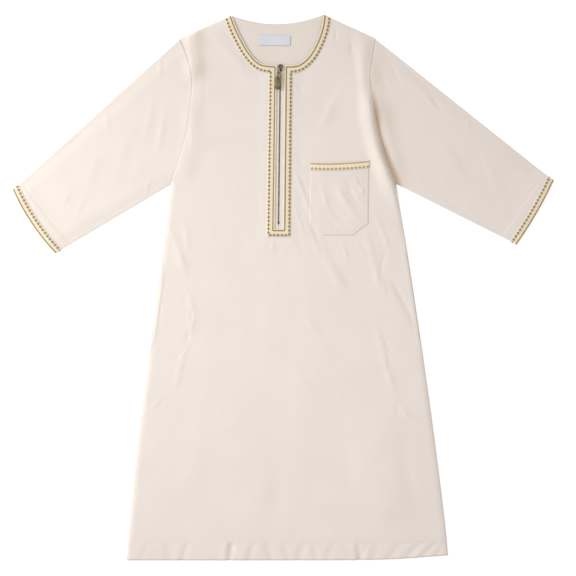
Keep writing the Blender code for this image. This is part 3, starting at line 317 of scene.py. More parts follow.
# ---- zip: x across, y up along the zip from the top of the slit ----------------------------------
TAPE = {"near": 1.1, "closed": 0.15, "far": 12.1, "top": 4.0, "cell": 3.0, "cells": 12, "below": 6.0,
        "above": 0.5, "cord": 0.25, "cord_at": 1.0, "cord_half": 0.9, "fall": 0.2, "fall_over": 8.0,
        "wave": 0.06, "wave_length": 9.0, "thickness": 0.6}
TOOTH = {"pitch": 2.2, "long": 1.9, "wide": 0.85, "tall": 1.0, "middle": 3.95, "head": (1.0, 0.75, 0.9),
         "bevel": 0.16, "lap": 0.55, "first": 1.0}
CHAIN_FOOT = 12.5
STOP = {"half": 1.8, "long": 4.0, "low": 2.5, "top": 4.6, "clear": 0.3, "groove": (1.7, 2.3),
        "waist": (1.4, 2.6), "inset": 0.3, "sunk": 0.4, "edge": 0.3, "waist_edge": 0.1}
SLIDER_OUTLINE = [(1.2, 4.6), (2.6, 4.2), (3.2, 3.0), (3.0, 1.2), (2.2, -1.4), (1.9, -4.2), (1.4, -5.0)]
SLIDER_POST = [(-0.9, 2.0), (0.9, 2.0), (0.9, 4.6), (-0.9, 4.6)]
SLIDER_RAIL = [(2.9, 3.6), (3.7, 3.2), (3.6, 1.2), (2.85, -2.0), (2.4, -2.0), (2.6, 1.0)]
SLIDER_PLATES = ((1.7, 2.5), (4.6, 5.7))
SLIDER = {"edge": 0.25, "bite": 0.2, "post_edge": 0.05, "rail_rise": 0.35, "rail_edge": 0.12}
BAIL = {"half": 0.6, "near": -4.0, "far": 3.8, "leg": 1.4, "top": 9.3, "bar": 0.9, "foot": 5.2,
        "inner_cut": 0.6, "cut": (1.2, 0.4), "drop": (0.25, 0.9), "edge": 0.18}
# a near-black disc on the slider's deck, standing for a hole's shade: painted shade
HOLE_SHADE = {"wide": 0.95, "narrow": 0.75, "deep": 0.3, "y": 4.0, "rise": 0.12, "segments": 20}
PULL = {"skew": -8.5, "axis_back": 1.4, "flat_angle": 2.0, "edge_angle": 0.9, "edge": 0.15}
KNURL = {"half_tab": 4.1, "first": 15.8, "last": 33.4, "ridges": 11, "top": 7.95, "slant": 0.45,
         "inset": 1.2, "wide": 0.55, "tall": 0.5, "bevel": 0.12}
WELD = 1e-6
SHARP = 35.0                # edges at a larger angle than this are shaded sharp

# ---- light and camera ----------------------------------------------------------------------------
VIEW_CENTRE = (8.0, -1.1)
VIEW_WIDTH = 921.6
CAMERA_HEIGHT = 2600.0
SENSOR = 36.0
SKY = 0.75
KEY = {"place": (-2.1, 0.85, 1.2), "aim": (-0.32, -0.02, 0.0), "size": 0.65, "spread": 50.0,
       "watts": 3.9}
FLOOR = {"half": 4000.0, "cells": 8, "z": -0.3, "glow": 0.35}


# ---- plan geometry -------------------------------------------------------------------------------
def smooth_step(value):
    """Rise from 0 to 1 with level ends."""
    t = np.clip(value, 0.0, 1.0)
    return t * t * (3.0 - 2.0 * t)


def bell(away, half=1.0):
    """1 in the middle, falling away to both sides."""
    return np.exp(-(away / half) ** 2)


def path_length(path):
    """Length of a polyline."""
    return float(np.sqrt((np.diff(np.asarray(path), axis=0) ** 2).sum(axis=1)).sum())


def resample(path, shares):
    """Points at the given shares of a polyline's length."""
    path = np.asarray(path, dtype=float)
    steps = np.sqrt((np.diff(path, axis=0) ** 2).sum(axis=1))
    along = np.concatenate([[0.0], np.cumsum(steps)])
    wanted = np.asarray(shares, dtype=float) * along[-1]
    return np.stack([np.interp(wanted, along, path[:, k]) for k in range(path.shape[1])], axis=1)


def evenly(path, count):
    """A polyline taken again in count equal steps of its length."""
    return resample(path, np.linspace(0.0, 1.0, count + 1))


def smooth_curve(points, count):
    """Catmull-Rom curve through the points, in count equal steps of its length."""
    p = np.asarray(points, dtype=float)
    p = np.vstack([2 * p[0] - p[1], p, 2 * p[-1] - p[-2]])
    fine = []
    for k in range(1, len(p) - 2):
        for t in np.linspace(0.0, 1.0, CURVE_STEPS, endpoint=False):
            a = 2 * p[k]
            b = (p[k + 1] - p[k - 1]) * t
            c = (2 * p[k - 1] - 5 * p[k] + 4 * p[k + 1] - p[k + 2]) * t ** 2
            d = (3 * p[k] - p[k - 1] - 3 * p[k + 1] + p[k + 2]) * t ** 3
            fine.append(0.5 * (a + b + c + d))
    fine.append(p[-2])
    return evenly(fine, count)


def line(start, end, count):
    """Equal steps along a straight line."""
    t = np.linspace(0.0, 1.0, count + 1)[:, None]
    return (1.0 - t) * np.asarray(start, float) + t * np.asarray(end, float)


def coons(low, high, left, right):
    """Patch between four edges that share their corners: rows run along left, columns along low."""
    u = np.linspace(0.0, 1.0, len(low))[None, :, None]
    v = np.linspace(0.0, 1.0, len(left))[:, None, None]
    ruled = (1 - v) * low[None] + v * high[None] + (1 - u) * left[:, None] + u * right[:, None]
    corners = ((1 - u) * (1 - v) * low[0] + u * (1 - v) * low[-1]
               + (1 - u) * v * high[0] + u * v * high[-1])
    return ruled - corners


def distance_to(path, x, y):
    """Distance in plan from each (x, y) to a polyline."""
    best = np.full(np.shape(x), FAR)
    for (ax, ay), (bx, by) in zip(path[:-1], path[1:]):
        dx, dy = bx - ax, by - ay
        t = np.clip(((x - ax) * dx + (y - ay) * dy) / (dx * dx + dy * dy), 0.0, 1.0)
        best = np.minimum(best, np.hypot(x - ax - t * dx, y - ay - t * dy))
    return best


def offset_path(path, width):
    """The path moved sideways to its right, with mitred corners."""
    path = np.asarray(path, dtype=float)
    ahead = np.diff(path, axis=0)
    ahead /= np.hypot(*ahead.T)[:, None]
    normals = np.stack([ahead[:, 1], -ahead[:, 0]], axis=1)
    moved = []
    for k in range(len(path)):
        mitre = normals[max(k - 1, 0)] + normals[min(k, len(normals) - 1)]
        mitre /= 0.5 * mitre @ mitre
        moved.append(path[k] + width * mitre)
    return np.array(moved)


# ---- the shared height rule ----------------------------------------------------------------------
def fold_height(folds, x, y):
    """Sum of the folds at (x, y), each a lopsided bell across its line and fading out at its ends."""
    total = np.zeros(np.shape(x))
    for start, bend, end, left_half, right_half, height in folds.values():
        a, b, c = (np.asarray(point, float) for point in (start, bend, end))
        reach = max(left_half, right_half)
        low = np.minimum(np.minimum(a, b), c) - reach
        high = np.maximum(np.maximum(a, b), c) + reach
        near = (x > low[0]) & (x < high[0]) & (y > low[1]) & (y < high[1])
        if not near.any():
            continue
        px, py = x[near], y[near]
        best = np.full(px.shape, FAR)
        place, side = np.zeros(px.shape), np.zeros(px.shape)
        for t in np.linspace(0.0, 1.0, FOLD_STEPS):
            qx, qy = (1 - t) ** 2 * a + 2 * t * (1 - t) * b + t * t * c
            dx, dy = (1 - t) * (b - a) + t * (c - b)
            away = np.hypot(px - qx, py - qy)
            closer = away < best
            place = np.where(closer, t, place)
            side = np.where(closer, dx * (py - qy) - dy * (px - qx), side)
            best = np.minimum(best, away)
        half = np.where(side > 0.0, left_half, right_half)
        across = (0.5 + 0.5 * np.cos(np.pi * np.clip(best / half, 0.0, 1.0))) ** FOLD_POINT
        ends = smooth_step(place / FOLD_FADE) * smooth_step((1.0 - place) / FOLD_FADE)
        swing = np.sin(FOLD_UNEVEN["turns"] * place + FOLD_UNEVEN["shift"] * height)
        uneven = 1.0 + FOLD_UNEVEN["share"] * swing
        total[near] += height * across * ends * uneven
    return total


def drift(x, y, spacing, seed):
    """Slow unevenness of cloth, between about -1 and 1."""
    points = zip((x / spacing).ravel(), (y / spacing).ravel())
    return np.array([noise.noise((a, b, seed)) for a, b in points]).reshape(np.shape(x))


def unevenness(x, y):
    """Rise and fall of cloth that lies loose."""
    return sum(height * drift(x, y, spacing, seed) for height, spacing, seed in WAVES)


def hollows(x, y):
    """How deep the cloth lies in the lee of its folds, away from the light, from 0 to 1: the share of
    painted shade in its colour.
    """
    raised = []
    for away in LEE_STEPS:
        raised.append(fold_height(FOLDS, x + TO_LIGHT[0] * away, y + TO_LIGHT[1] * away))
    return np.clip((np.mean(raised, axis=0) - fold_height(FOLDS, x, y)) / PAINTED_SHADE_DEPTH, 0.0, 1.0)


def zip_line(y):
    """x of the zip's centre line at a height on the garment."""
    slope = (ZIP_TOP[0] - ZIP_FOOT[0]) / (ZIP_TOP[1] - ZIP_FOOT[1])
    return ZIP_FOOT[0] + (y - ZIP_FOOT[1]) * slope


def mouth_opening(name, y, margin):
    """1 along a seam pocket's mouth, falling to 0 over the margin beyond each end."""
    low, high = POCKET_MOUTH[name]
    return smooth_step((y - low + margin) / margin) * smooth_step((high + margin - y) / margin)


def shoulder_seam(name):
    """The line from the top of the armhole to the neck."""
    return line(ARMHOLE[name][-1], NECK[name][0], 1)


def hem_relief(x, y):
    """Turned hem: a shallow groove along its stitch line and small puckers across it."""
    above = y - HEM_LOW
    total = HEM_TURN["step"] * smooth_step((HEM_DEPTH - above) / HEM_TURN["slope"])
    total = total - HEM_TURN["groove"] * bell(above - HEM_DEPTH, HEM_TURN["half"])
    low_down = smooth_step((HEM_DEPTH + PUCKER["above"] - above) / PUCKER["fade"])
    for at, lean, half, depth in HEM_PUCKERS:
        across = (x - at - lean * (above - PUCKER["middle"])) / half
        dip = bell(across) - PUCKER["lip"] * bell(across + PUCKER["lip_at"])
        total = total - depth * dip * low_down
    return total


def seam_sink(name, from_armhole):
    """Share of the cloth's height left beside an armhole seam."""
    return 1.0 - ARMHOLE_SINK[name] * (1.0 - smooth_step(from_armhole / ARMHOLE_RISE[name]))


def slit_gathers(x, y):
    """Little gathers of the cloth beside the braid down the slit."""
    form = SLIT_GATHERS
    beyond = np.abs(x - zip_line(y)) - SLIT_HALF_FOOT - BRAID_WIDTH
    fade = smooth_step((beyond + form["under"]) / form["under_fade"])
    fade = fade * smooth_step((form["out"] - beyond) / form["out_fade"])
    ends = smooth_step((y - ZIP_FOOT[1]) / form["end_fade"])
    ends = ends * smooth_step((ZIP_TOP[1] - y) / form["end_fade"])
    sway = form["sway"] * drift(x, y, *form["sway_drift"])
    waves = np.sin(2.0 * np.pi * (y + sway) / form["length"])
    return form["height"] * fade * ends * waves * (form["least"] + drift(x, y, *form["drift"]))


def front_height(x, y):
    """Upper face of the front: level inside, low at the seams and hem, with folds and creases."""
    from_edge, from_shoulder = np.full(np.shape(x), FAR), np.full(np.shape(x), FAR)
    sink = np.ones(np.shape(x))
    for name in SIGNS:
        from_edge = np.minimum(from_edge, distance_to(smooth_curve(SIDE[name], SEAM_STEPS), x, y))
        from_shoulder = np.minimum(from_shoulder, distance_to(shoulder_seam(name), x, y))
        sink = sink * seam_sink(name, distance_to(smooth_curve(ARMHOLE[name], SEAM_STEPS), x, y))
    rise = smooth_step(from_edge / SEAM_RISE)
    for name, sign in SIGNS.items():
        rise = np.maximum(rise, mouth_opening(name, y, MOUTH["air_fade"]) * (sign * x > MOUTH["beyond"]))
    rise = rise * sink * smooth_step(from_shoulder / SHOULDER_RISE)
    from_edge = np.minimum(from_edge, from_shoulder)
    near_hem = 1.0 - smooth_step((y - HEM_LOW) / HEM_FALL)
    air = AIR * rise * (1.0 - near_hem) + HEM_AIR * rise * near_hem
    from_zip = np.abs(x - zip_line(y))
    beside_zip = 1.0 - smooth_step((from_zip - ZIP_RAISE["half"]) / ZIP_RAISE["fade"])
    above_foot = smooth_step((y - ZIP_FOOT[1] + ZIP_RAISE["below"]) / ZIP_RAISE["end"])
    height = SEAM_Z + WALL + air + ZIP_RAISE["height"] * beside_zip * above_foot
    folds = fold_height(FOLDS, x, y) * (1.0 - HEM_FLATTENING * near_hem) + fold_height(CREASES, x, y)
    loose = smooth_step((from_zip - BRAID_STIFF["half"]) / BRAID_STIFF["fade"])
    inside = smooth_step(from_edge / FOLD_INSET)
    roll = EDGE_ROLL["height"] * bell(from_edge - EDGE_ROLL["at"], EDGE_ROLL["half"])
    roll = roll * (1.0 + drift(x, y, *EDGE_ROLL["drift"]))
    turned = EDGE_TURN["depth"] * (1.0 - smooth_step(from_edge / EDGE_TURN["reach"])) * (1.0 - rise)
    height = height + inside * (folds + loose * unevenness(x, y) + slit_gathers(x, y)) + roll * rise
    return height + hem_relief(x, y) * rise - turned


# ---- making meshes -------------------------------------------------------------------------------
def shown(name, mesh, finish, sharp=None):
    """An object at the origin with one finish, shaded smooth but for edges sharper than the angle."""
    mesh.shade_smooth()
    if sharp is not None:
        mesh.set_sharp_from_angle(angle=math.radians(sharp))
    mesh.materials.clear()
    mesh.materials.append(finish)
    piece = bpy.data.objects.new(name, mesh)
    bpy.context.scene.collection.objects.link(piece)
    return piece


def from_bmesh(name, bm, finish):
    """Turn a bmesh in millimetres into a piece."""
    bmesh.ops.scale(bm, vec=(MM, MM, MM), verts=bm.verts[:])
    mesh = bpy.data.meshes.new(name)
    bm.to_mesh(mesh)
    bm.free()
    return shown(name, mesh, finish, SHARP)


def soften(bm, edges, offset, segments=1):
    """Bevel the edges. One with more segments is kept from running past its neighbours."""
    bmesh.ops.bevel(bm, geom=edges, offset=offset, offset_type="OFFSET", segments=segments, profile=0.5,
                    affect="EDGES", material=-1, clamp_overlap=segments > 1)


def numbers(collection, attribute, width, kind=np.float32):
    """One attribute of every item of a mesh collection, a row for each item."""
    values = np.empty(len(collection) * width, kind)
    collection.foreach_get(attribute, values)
    return values.reshape(-1, width)


def lay(name, points, finish, keep=None, closed=False, **marks):
    """A grid laid through rows of 3-D points, with the cloth's own map in metres. A closed one is
    welded where its last column meets its first. Marks are kept as attributes: the border is 1 where
    a braid's ground turns to the colour of the cloth, and the painted shade is 1 in the deepest folds."""
    rows, columns = points.shape[0] - 1, points.shape[1] - 1
    bm = bmesh.new()
    bmesh.ops.create_grid(bm, x_segments=columns, y_segments=rows, size=0.5)
    if keep is not None:
        spare = []
        for face in bm.faces:
            centre = face.calc_center_median()
            if not keep[int((centre.y + 0.5) * rows), int((centre.x + 0.5) * columns)]:
                spare.append(face)
        bmesh.ops.delete(bm, geom=spare, context="FACES")
    mesh = bpy.data.meshes.new(name)
    bm.to_mesh(mesh)
    bm.free()
    flat = numbers(mesh.vertices, "co", 3)
    i = np.rint((flat[:, 1] + 0.5) * rows).astype(int)
    j = np.rint((flat[:, 0] + 0.5) * columns).astype(int)
    mesh.vertices.foreach_set("co", (points[i, j] * MM).astype(np.float32).ravel())
    span = np.sqrt((np.diff(points, axis=1) ** 2).sum(axis=2)).mean(axis=0)
    rise = np.sqrt((np.diff(points, axis=0) ** 2).sum(axis=2)).mean(axis=1)
    across = np.concatenate([[0.0], np.cumsum(span)])
    along = np.concatenate([[0.0], np.cumsum(rise)])
    corner = numbers(mesh.loops, "vertex_index", 1, np.int32).ravel()
    grain = np.column_stack([across[j], along[i]])[corner] * MM
    mesh.uv_layers.new(name="cloth").data.foreach_set("uv", grain.astype(np.float32).ravel())
    for mark, value in marks.items():
        share = np.broadcast_to(value, points.shape[:2])[i, j]
        mesh.attributes.new(mark, "FLOAT", "POINT").data.foreach_set("value", share.astype(np.float32))
    if closed:
        bm = bmesh.new()
        bm.from_mesh(mesh)
        bmesh.ops.remove_doubles(bm, verts=bm.verts[:], dist=WELD)
        highest = max(bm.faces, key=lambda face: face.calc_center_median().z)
        highest.normal_update()
        if highest.normal.z < 0.0:
            bmesh.ops.reverse_faces(bm, faces=bm.faces[:])
        bm.to_mesh(mesh)
        bm.free()
    return shown(name, mesh, finish)


def lay_plan(name, plan, heights, finish, keep=None, **marks):
    """A grid laid through plan points at their heights."""
    return lay(name, np.dstack([plan, heights]), finish, keep, **marks)


def thicken(piece, thickness):
    """Give a sheet its thickness, below its upper face."""
    shell = piece.modifiers.new("thickness", "SOLIDIFY")
    shell.thickness = thickness * MM
    shell.offset = -1.0
    return piece


def flat_area(plan, keep=None):
    """Area of a laid grid in square metres."""
    a, b = plan[1:, 1:] - plan[:-1, :-1], plan[1:, :-1] - plan[:-1, 1:]
    cells = 0.5 * np.abs(a[..., 0] * b[..., 1] - a[..., 1] * b[..., 0])
    if keep is not None:
        cells = cells * keep
    return float(cells.sum()) * MM * MM


def copies(name, base, places, finish, sharp=None):
    """One piece made of copies of a small bmesh, each put in its 4 x 4 place, in millimetres."""
    mesh = bpy.data.meshes.new(name)
    base.to_mesh(mesh)
    base.free()
    points = numbers(mesh.vertices, "co", 3)
    piece = shown(name, mesh, finish, sharp)
    repeat = piece.modifiers.new("repeat", "ARRAY")
    repeat.use_relative_offset = False
    repeat.count = len(places)
    depsgraph = bpy.context.evaluated_depsgraph_get()
    repeated = bpy.data.meshes.new_from_object(piece.evaluated_get(depsgraph))
    piece.modifiers.clear()
    piece.data = repeated
    moved = np.einsum("nij,vj->nvi", places[:, :3, :3], points) + places[:, None, :3, 3]
    repeated.vertices.foreach_set("co", (moved * MM).astype(np.float32).ravel())
    repeated.update()
    return piece


def threads(name, rows, finish):
    """One piece of thread laid at rows of places: each a plump length, one millimetre each way."""
    bm = bmesh.new()
    bmesh.ops.create_uvsphere(bm, u_segments=6, v_segments=4, radius=0.5)
    return copies(name, bm, np.concatenate(rows), finish)


def frames_along(path, lengths, across=None):
    """Points at the given lengths of a path, with the directions along, across and off it."""
    total = path_length(path)
    shares = np.clip(np.asarray(lengths) / total, 0.0, 1.0)
    step = LOOK_AHEAD / total
    ahead = resample(path, np.clip(shares + step, 0, 1)) - resample(path, np.clip(shares - step, 0, 1))
    ahead /= np.sqrt((ahead ** 2).sum(axis=1))[:, None]
    if across is None:
        across = np.cross((0.0, 0.0, 1.0), ahead)
    across = np.broadcast_to(np.asarray(across, float), ahead.shape)
    across = across - (across * ahead).sum(axis=1)[:, None] * ahead
    across = across / np.sqrt((across ** 2).sum(axis=1))[:, None]
    return resample(path, shares), ahead, across, np.cross(ahead, across)


def places_at(at, axes, sizes):
    """4 x 4 places from points, three unit axes and the size along each."""
    made = np.zeros((len(at), 4, 4))
    for k in range(3):
        made[:, :3, k] = axes[k] * sizes[k]
    made[:, :3, 3] = at
    made[:, 3, 3] = 1.0
    return made


def even_lengths(path, pitch):
    """Middles of equal steps of about the pitch along a path."""
    total = path_length(path)
    count = max(int(round(total / pitch)), 1)
    return (np.arange(count) + 0.5) * total / count


def stitches(path, pitch=2.6, long=2.0, wide=0.34):
    """A row of stitches laid end to end along a path."""
    at, ahead, side, off = frames_along(path, even_lengths(path, pitch))
    return places_at(at, (ahead, side, off), (long, wide, STITCH_FLAT * wide))


def satin(path, width, tall, across=None):
    """Satin threads packed side by side across a path."""
    at, ahead, side, off = frames_along(path, even_lengths(path, THREAD), across)
    laid = (side + SATIN_SLANT * ahead) / math.hypot(1.0, SATIN_SLANT)
    return places_at(at, (laid, np.cross(off, laid), off), (width, THREAD * SATIN_WIDE, tall))


def motifs(path, tall=0.7, across=None):
    """A row of satin diamonds along a path, with a short stitch between neighbours."""
    middles = even_lengths(path, MOTIF_PITCH)
    base, crown = MOTIF_CROWN
    made = []
    for k, width in enumerate(MOTIF_THREADS):
        shift = (k - (len(MOTIF_THREADS) - 1) / 2) * THREAD * MOTIF_SPREAD
        at, ahead, side, off = frames_along(path, middles + shift, across)
        height = tall * (base + crown * width / max(MOTIF_THREADS))
        made.append(places_at(at, (side, ahead, off), (width, THREAD * MOTIF_WIDE, height)))
    between = (middles[1:] + middles[:-1]) / 2
    at, ahead, side, off = frames_along(path, between, across)
    long, wide, share = MOTIF_LINK
    made.append(places_at(at, (ahead, side, off), (long, wide, share * tall)))
    return np.concatenate(made)


# ---- materials -----------------------------------------------------------------------------------
class Signal:
    """A shader socket whose arithmetic adds Math nodes."""

    def __init__(self, shade, socket):
        self.shade = shade
        self.socket = socket

    def maths(self, operation, *values):
        """Put this signal and the values through one Math node."""
        return self.shade.node("ShaderNodeMath", {"operation": operation}, dict(enumerate((self, *values))))

    def __add__(self, other):
        return self.maths("ADD", other)

    def __mul__(self, other):
        return self.maths("MULTIPLY", other)

    def __rsub__(self, other):
        return self.shade.node("ShaderNodeMath", {"operation": "SUBTRACT"}, {0: other, 1: self})

    __radd__ = __add__
    __rmul__ = __mul__


class Shade:
    """One material and the nodes that feed its Principled shader."""

    def __init__(self, name, **constants):
        self.material = bpy.data.materials.new(name)
        self.material.use_nodes = True
        self.tree = self.material.node_tree
        self.surface = self.tree.nodes["Principled BSDF"]
        for key, value in constants.items():
            self.surface.inputs[key.replace("_", " ")].default_value = value

    def feed(self, socket, value):
        """Link a signal to a socket, or set its value."""
        if isinstance(value, Signal):
            self.tree.links.new(value.socket, socket)
        else:
            socket.default_value = value

    def node(self, kind, settings=None, inputs=None, output=0):
        """Add a node, set it up, feed its inputs and return one of its outputs."""
        made = self.tree.nodes.new(kind)
        for key, value in (settings or {}).items():
            if key == "stops":
                for element, (position, colour) in zip(made.color_ramp.elements, value):
                    element.position = position
                    element.color = colour
            else:
                setattr(made, key, value)
        for key, value in (inputs or {}).items():
            self.feed(made.inputs[key], value)
        return Signal(self, made.outputs[output])

    def into(self, name, value):
        """Feed one of the surface's sockets."""
        self.feed(self.surface.inputs[name], value)

    def position(self):
        """Position on the object in metres."""
        return self.node("ShaderNodeTexCoord", output="Object")

    def grain(self):
        """Position on the cloth's own map in metres."""
        return self.node("ShaderNodeUVMap", {"uv_map": "cloth"})

    def mark(self, name):
        """A mark that the grid was laid with."""
        return self.node("ShaderNodeAttribute", {"attribute_name": name}, output=2)

    def noise(self, where, scale, detail=2.0, roughness=0.5):
        """Noise between 0 and 1."""
        return self.node("ShaderNodeTexNoise", None,
                         {"Vector": where, "Scale": scale, "Detail": detail, "Roughness": roughness})

    def part(self, vector, axis):
        """One of the three numbers of a vector."""
        return self.node("ShaderNodeSeparateXYZ", None, {0: vector}, output=axis)

    def blend(self, factor, low, high):
        """Colour between two colours, each given or a signal."""
        low, high = [end if isinstance(end, Signal) else (*end, 1.0) for end in (low, high)]
        return self.node("ShaderNodeMix", {"data_type": "RGBA"}, {0: factor, 6: low, 7: high}, output=2)

    def colour(self, tone, dark, bright):
        """Colour the surface between two colours."""
        self.into("Base Color", self.blend(tone, dark, bright))

    def bump(self, height, distance, strength):
        """Raise the surface by a height in units of the distance, in metres."""
        self.into("Normal", self.node("ShaderNodeBump", None,
                                      {"Height": height, "Distance": distance, "Strength": strength}))


def wave(value, length):
    """Smooth wave of a signal, between 0 and 1, with the given length."""
    return 0.5 + 0.5 * (value * (2.0 * math.pi / length)).maths("SINE")


def cloth_finish(name, dark, bright, thread=0.00055):
    """Fine matt plain weave with slubs, slight cloudiness and a faint sheen, with painted shade, darker and
    warmer, in the lee of its folds.
    """
    shade = Shade(name, Sheen_Weight=0.12, Sheen_Roughness=0.5, Specular_IOR_Level=0.25)
    grain = shade.grain()
    clouds = shade.noise(grain, scale=16.0, detail=3.0)
    stretched = shade.node("ShaderNodeMapping", None, {"Vector": grain, "Scale": (1100.0, 70.0, 1.0)})
    slubs = shade.noise(stretched, scale=1.0, detail=1.0)
    warp = wave(shade.part(grain, 0), thread)
    weft = wave(shade.part(grain, 1), thread)
    weave = warp * weft + (1.0 - warp) * (1.0 - weft)
    tone = clouds * 0.45 + slubs * 0.3 + weave * 0.25
    open_cloth = shade.blend(tone, dark, bright)
    # painted shade: a darker, warmer copy of the cloth's colour, laid on in the lee of the folds
    painted_shade_dark, painted_shade_bright = np.array([dark, bright]) * PAINTED_SHADE_TINT
    hollow = shade.blend(tone, painted_shade_dark, painted_shade_bright)
    shade.colour(shade.mark("hollow"), open_cloth, hollow)
    shade.into("Roughness", 0.70 + 0.16 * slubs)
    shade.bump(weave * 0.6 + slubs * 0.6, distance=0.00006, strength=0.45)
    return shade.material


def thread_finish(name, dark, bright, metallic=0.0, roughness=0.45):
    """Twisted thread, uneven along its length, and darker between its strands: painted shade of the grooves
    there.
    """
    shade = Shade(name, Sheen_Weight=0.15, Specular_IOR_Level=0.5)
    where = shade.position()
    strands_and_groove_shade = shade.noise(where, scale=2400.0)
    patches = shade.noise(where, scale=120.0)
    # painted shade: the colour darkens where the strands' bump dips, and varies at random in patches
    shade.colour(strands_and_groove_shade * 0.6 + patches * 0.4, dark, bright)
    shade.into("Metallic", metallic * (0.6 + 0.8 * strands_and_groove_shade))
    shade.into("Roughness", roughness + 0.2 * patches)
    shade.bump(strands_and_groove_shade, distance=0.00008, strength=0.6)
    return shade.material


def ribbed_finish(name, dark, bright, rib, twill=0.0, bordered=False):
    """Woven tape or ribbon with ribs across it, slanted where it is a twill. A bordered one turns to
    the colour of the cloth at its border."""
    shade = Shade(name, Sheen_Weight=0.15, Specular_IOR_Level=0.35)
    grain = shade.grain()
    ribs = wave(shade.part(grain, 1) + shade.part(grain, 0) * twill, rib)
    speckle = shade.noise(grain, scale=800.0)
    tone = ribs * 0.5 + speckle * 0.5
    if bordered:
        border = shade.mark("border")
        inner = shade.blend(tone, dark, bright)
        shade.colour(border, inner, shade.blend(tone, CLOTH_DARK, CLOTH_BRIGHT))
    else:
        shade.colour(tone, dark, bright)
    shade.into("Roughness", 0.55 + 0.2 * speckle)
    shade.bump(ribs + speckle * 0.5, distance=0.0001, strength=0.6)
    return shade.material


def metal_finish(name, dark, bright):
    """Plated metal with a dark patina, rubbed brighter in patches and finely scratched."""
    shade = Shade(name)
    where = shade.position()
    patina = shade.noise(where, scale=300.0, detail=4.0, roughness=0.6)
    scratches = shade.noise(where, scale=2400.0)
    stops = [(0.36, (0.0, 0.0, 0.0, 1.0)), (0.68, (1.0, 1.0, 1.0, 1.0))]
    rubbed = shade.node("ShaderNodeValToRGB", {"stops": stops}, {"Fac": patina})
    shade.colour(rubbed, dark, bright)
    shade.into("Metallic", 0.75 + 0.2 * scratches)
    shade.into("Roughness", 0.30 + 0.25 * scratches)
    shade.bump(scratches, distance=0.00003, strength=0.5)
    return shade.material


def floor_finish():
    """Pale studio floor, faintly mottled and lit through from below."""
    shade = Shade("studio_floor", Roughness=0.9, Emission_Color=(1.0, 1.0, 1.0, 1.0),
                  Emission_Strength=FLOOR["glow"])
    shade.colour(shade.noise(shade.position(), scale=3.0), (0.93, 0.93, 0.93), (0.96, 0.96, 0.96))
    return shade.material


PAINTED_SHADE_TINT = (0.84, 0.72, 0.60)     # painted shade: the cloth's colour is multiplied by this in the lee of its folds, darker and warmer
CLOTH_DARK, CLOTH_BRIGHT = (0.742, 0.662, 0.60), (0.842, 0.757, 0.69)
CLOTH_FINISH = cloth_finish("thobe_cloth", CLOTH_DARK, CLOTH_BRIGHT)
# painted shade: the back panel gets a darker copy of the cloth's colour, for the shade on its inner face
# inside the neck
INSIDE_SHADE_FINISH = cloth_finish("thobe_cloth_inside_painted_shade", (0.72, 0.635, 0.57), (0.83, 0.74, 0.67))
LINING_FINISH = cloth_finish("pocket_lining_cloth", (0.70, 0.63, 0.56), (0.80, 0.73, 0.65), thread=0.0007)
GOLD_THREAD = thread_finish("gold_thread", (0.20, 0.12, 0.021), (0.60, 0.41, 0.115),
                            metallic=0.15, roughness=0.42)
PALE_GOLD_THREAD = thread_finish("pale_gold_thread", (0.36, 0.235, 0.06), (0.84, 0.63, 0.25),
                                 metallic=0.15, roughness=0.42)
CREAM_THREAD = thread_finish("cream_thread", (0.86, 0.80, 0.68), (0.98, 0.94, 0.86))
SEWING_THREAD = thread_finish("sewing_thread", (0.66, 0.59, 0.52), (0.85, 0.78, 0.70))
BRAID_FINISH = ribbed_finish("braid_ground", (0.72, 0.61, 0.44), (0.90, 0.80, 0.63),
                             rib=0.0009, bordered=True)
PALE_BRAID_FINISH = ribbed_finish("pale_braid_ground", (0.75, 0.65, 0.48), (0.93, 0.84, 0.66),
                                  rib=0.0009, bordered=True)
TAPE_FINISH = ribbed_finish("zip_tape_twill", (0.72, 0.64, 0.56), (0.90, 0.83, 0.75), rib=0.0008, twill=1.0)
LABEL_FINISH = ribbed_finish("label_damask", (0.60, 0.61, 0.67), (0.80, 0.81, 0.88), rib=0.0005)
TEETH_FINISH = metal_finish("zip_teeth_brass", (0.26, 0.22, 0.16), (0.60, 0.52, 0.42))
BRASS_FINISH = metal_finish("antique_brass", (0.08, 0.058, 0.030), (0.36, 0.265, 0.150))
PULL_FINISH = metal_finish("rubbed_brass", (0.12, 0.085, 0.04), (0.48, 0.36, 0.20))
# painted shade: near-black brass standing for the shade in a hole
HOLE_SHADE_FINISH = metal_finish("painted_hole_shade", (0.015, 0.012, 0.008), (0.04, 0.035, 0.02))


# ---- body panels ---------------------------------------------------------------------------------
def slit_edge(side, y):
    """x of one edge of the zip slit."""
    share = (y - ZIP_FOOT[1]) / (ZIP_TOP[1] - ZIP_FOOT[1])
    half = SLIT_HALF_FOOT + (SLIT_HALF_TOP - SLIT_HALF_FOOT) * share
    return zip_line(y) + SLIT_SHIFT + side * half


def opening_edge(side):
    """Edge of the opening from the slit's lower corner up and out to the shoulder, by row."""
    underarm_y = ARMHOLE["right"][0][1]
    corner = (slit_edge(side, ZIP_TOP[1]), ZIP_TOP[1] + SLIT_CORNER_RISE[side])
    low = (slit_edge(side, ZIP_FOOT[1]), ZIP_FOOT[1])
    waist = (slit_edge(side, underarm_y), underarm_y)
    curve = smooth_curve([corner] + NECK[NAMES[side]][::-1], NECK_ROWS)
    return np.vstack([line(low, waist, SLIT_ROWS)[:-1], line(waist, corner, CHEST_ROWS)[:-1], curve])


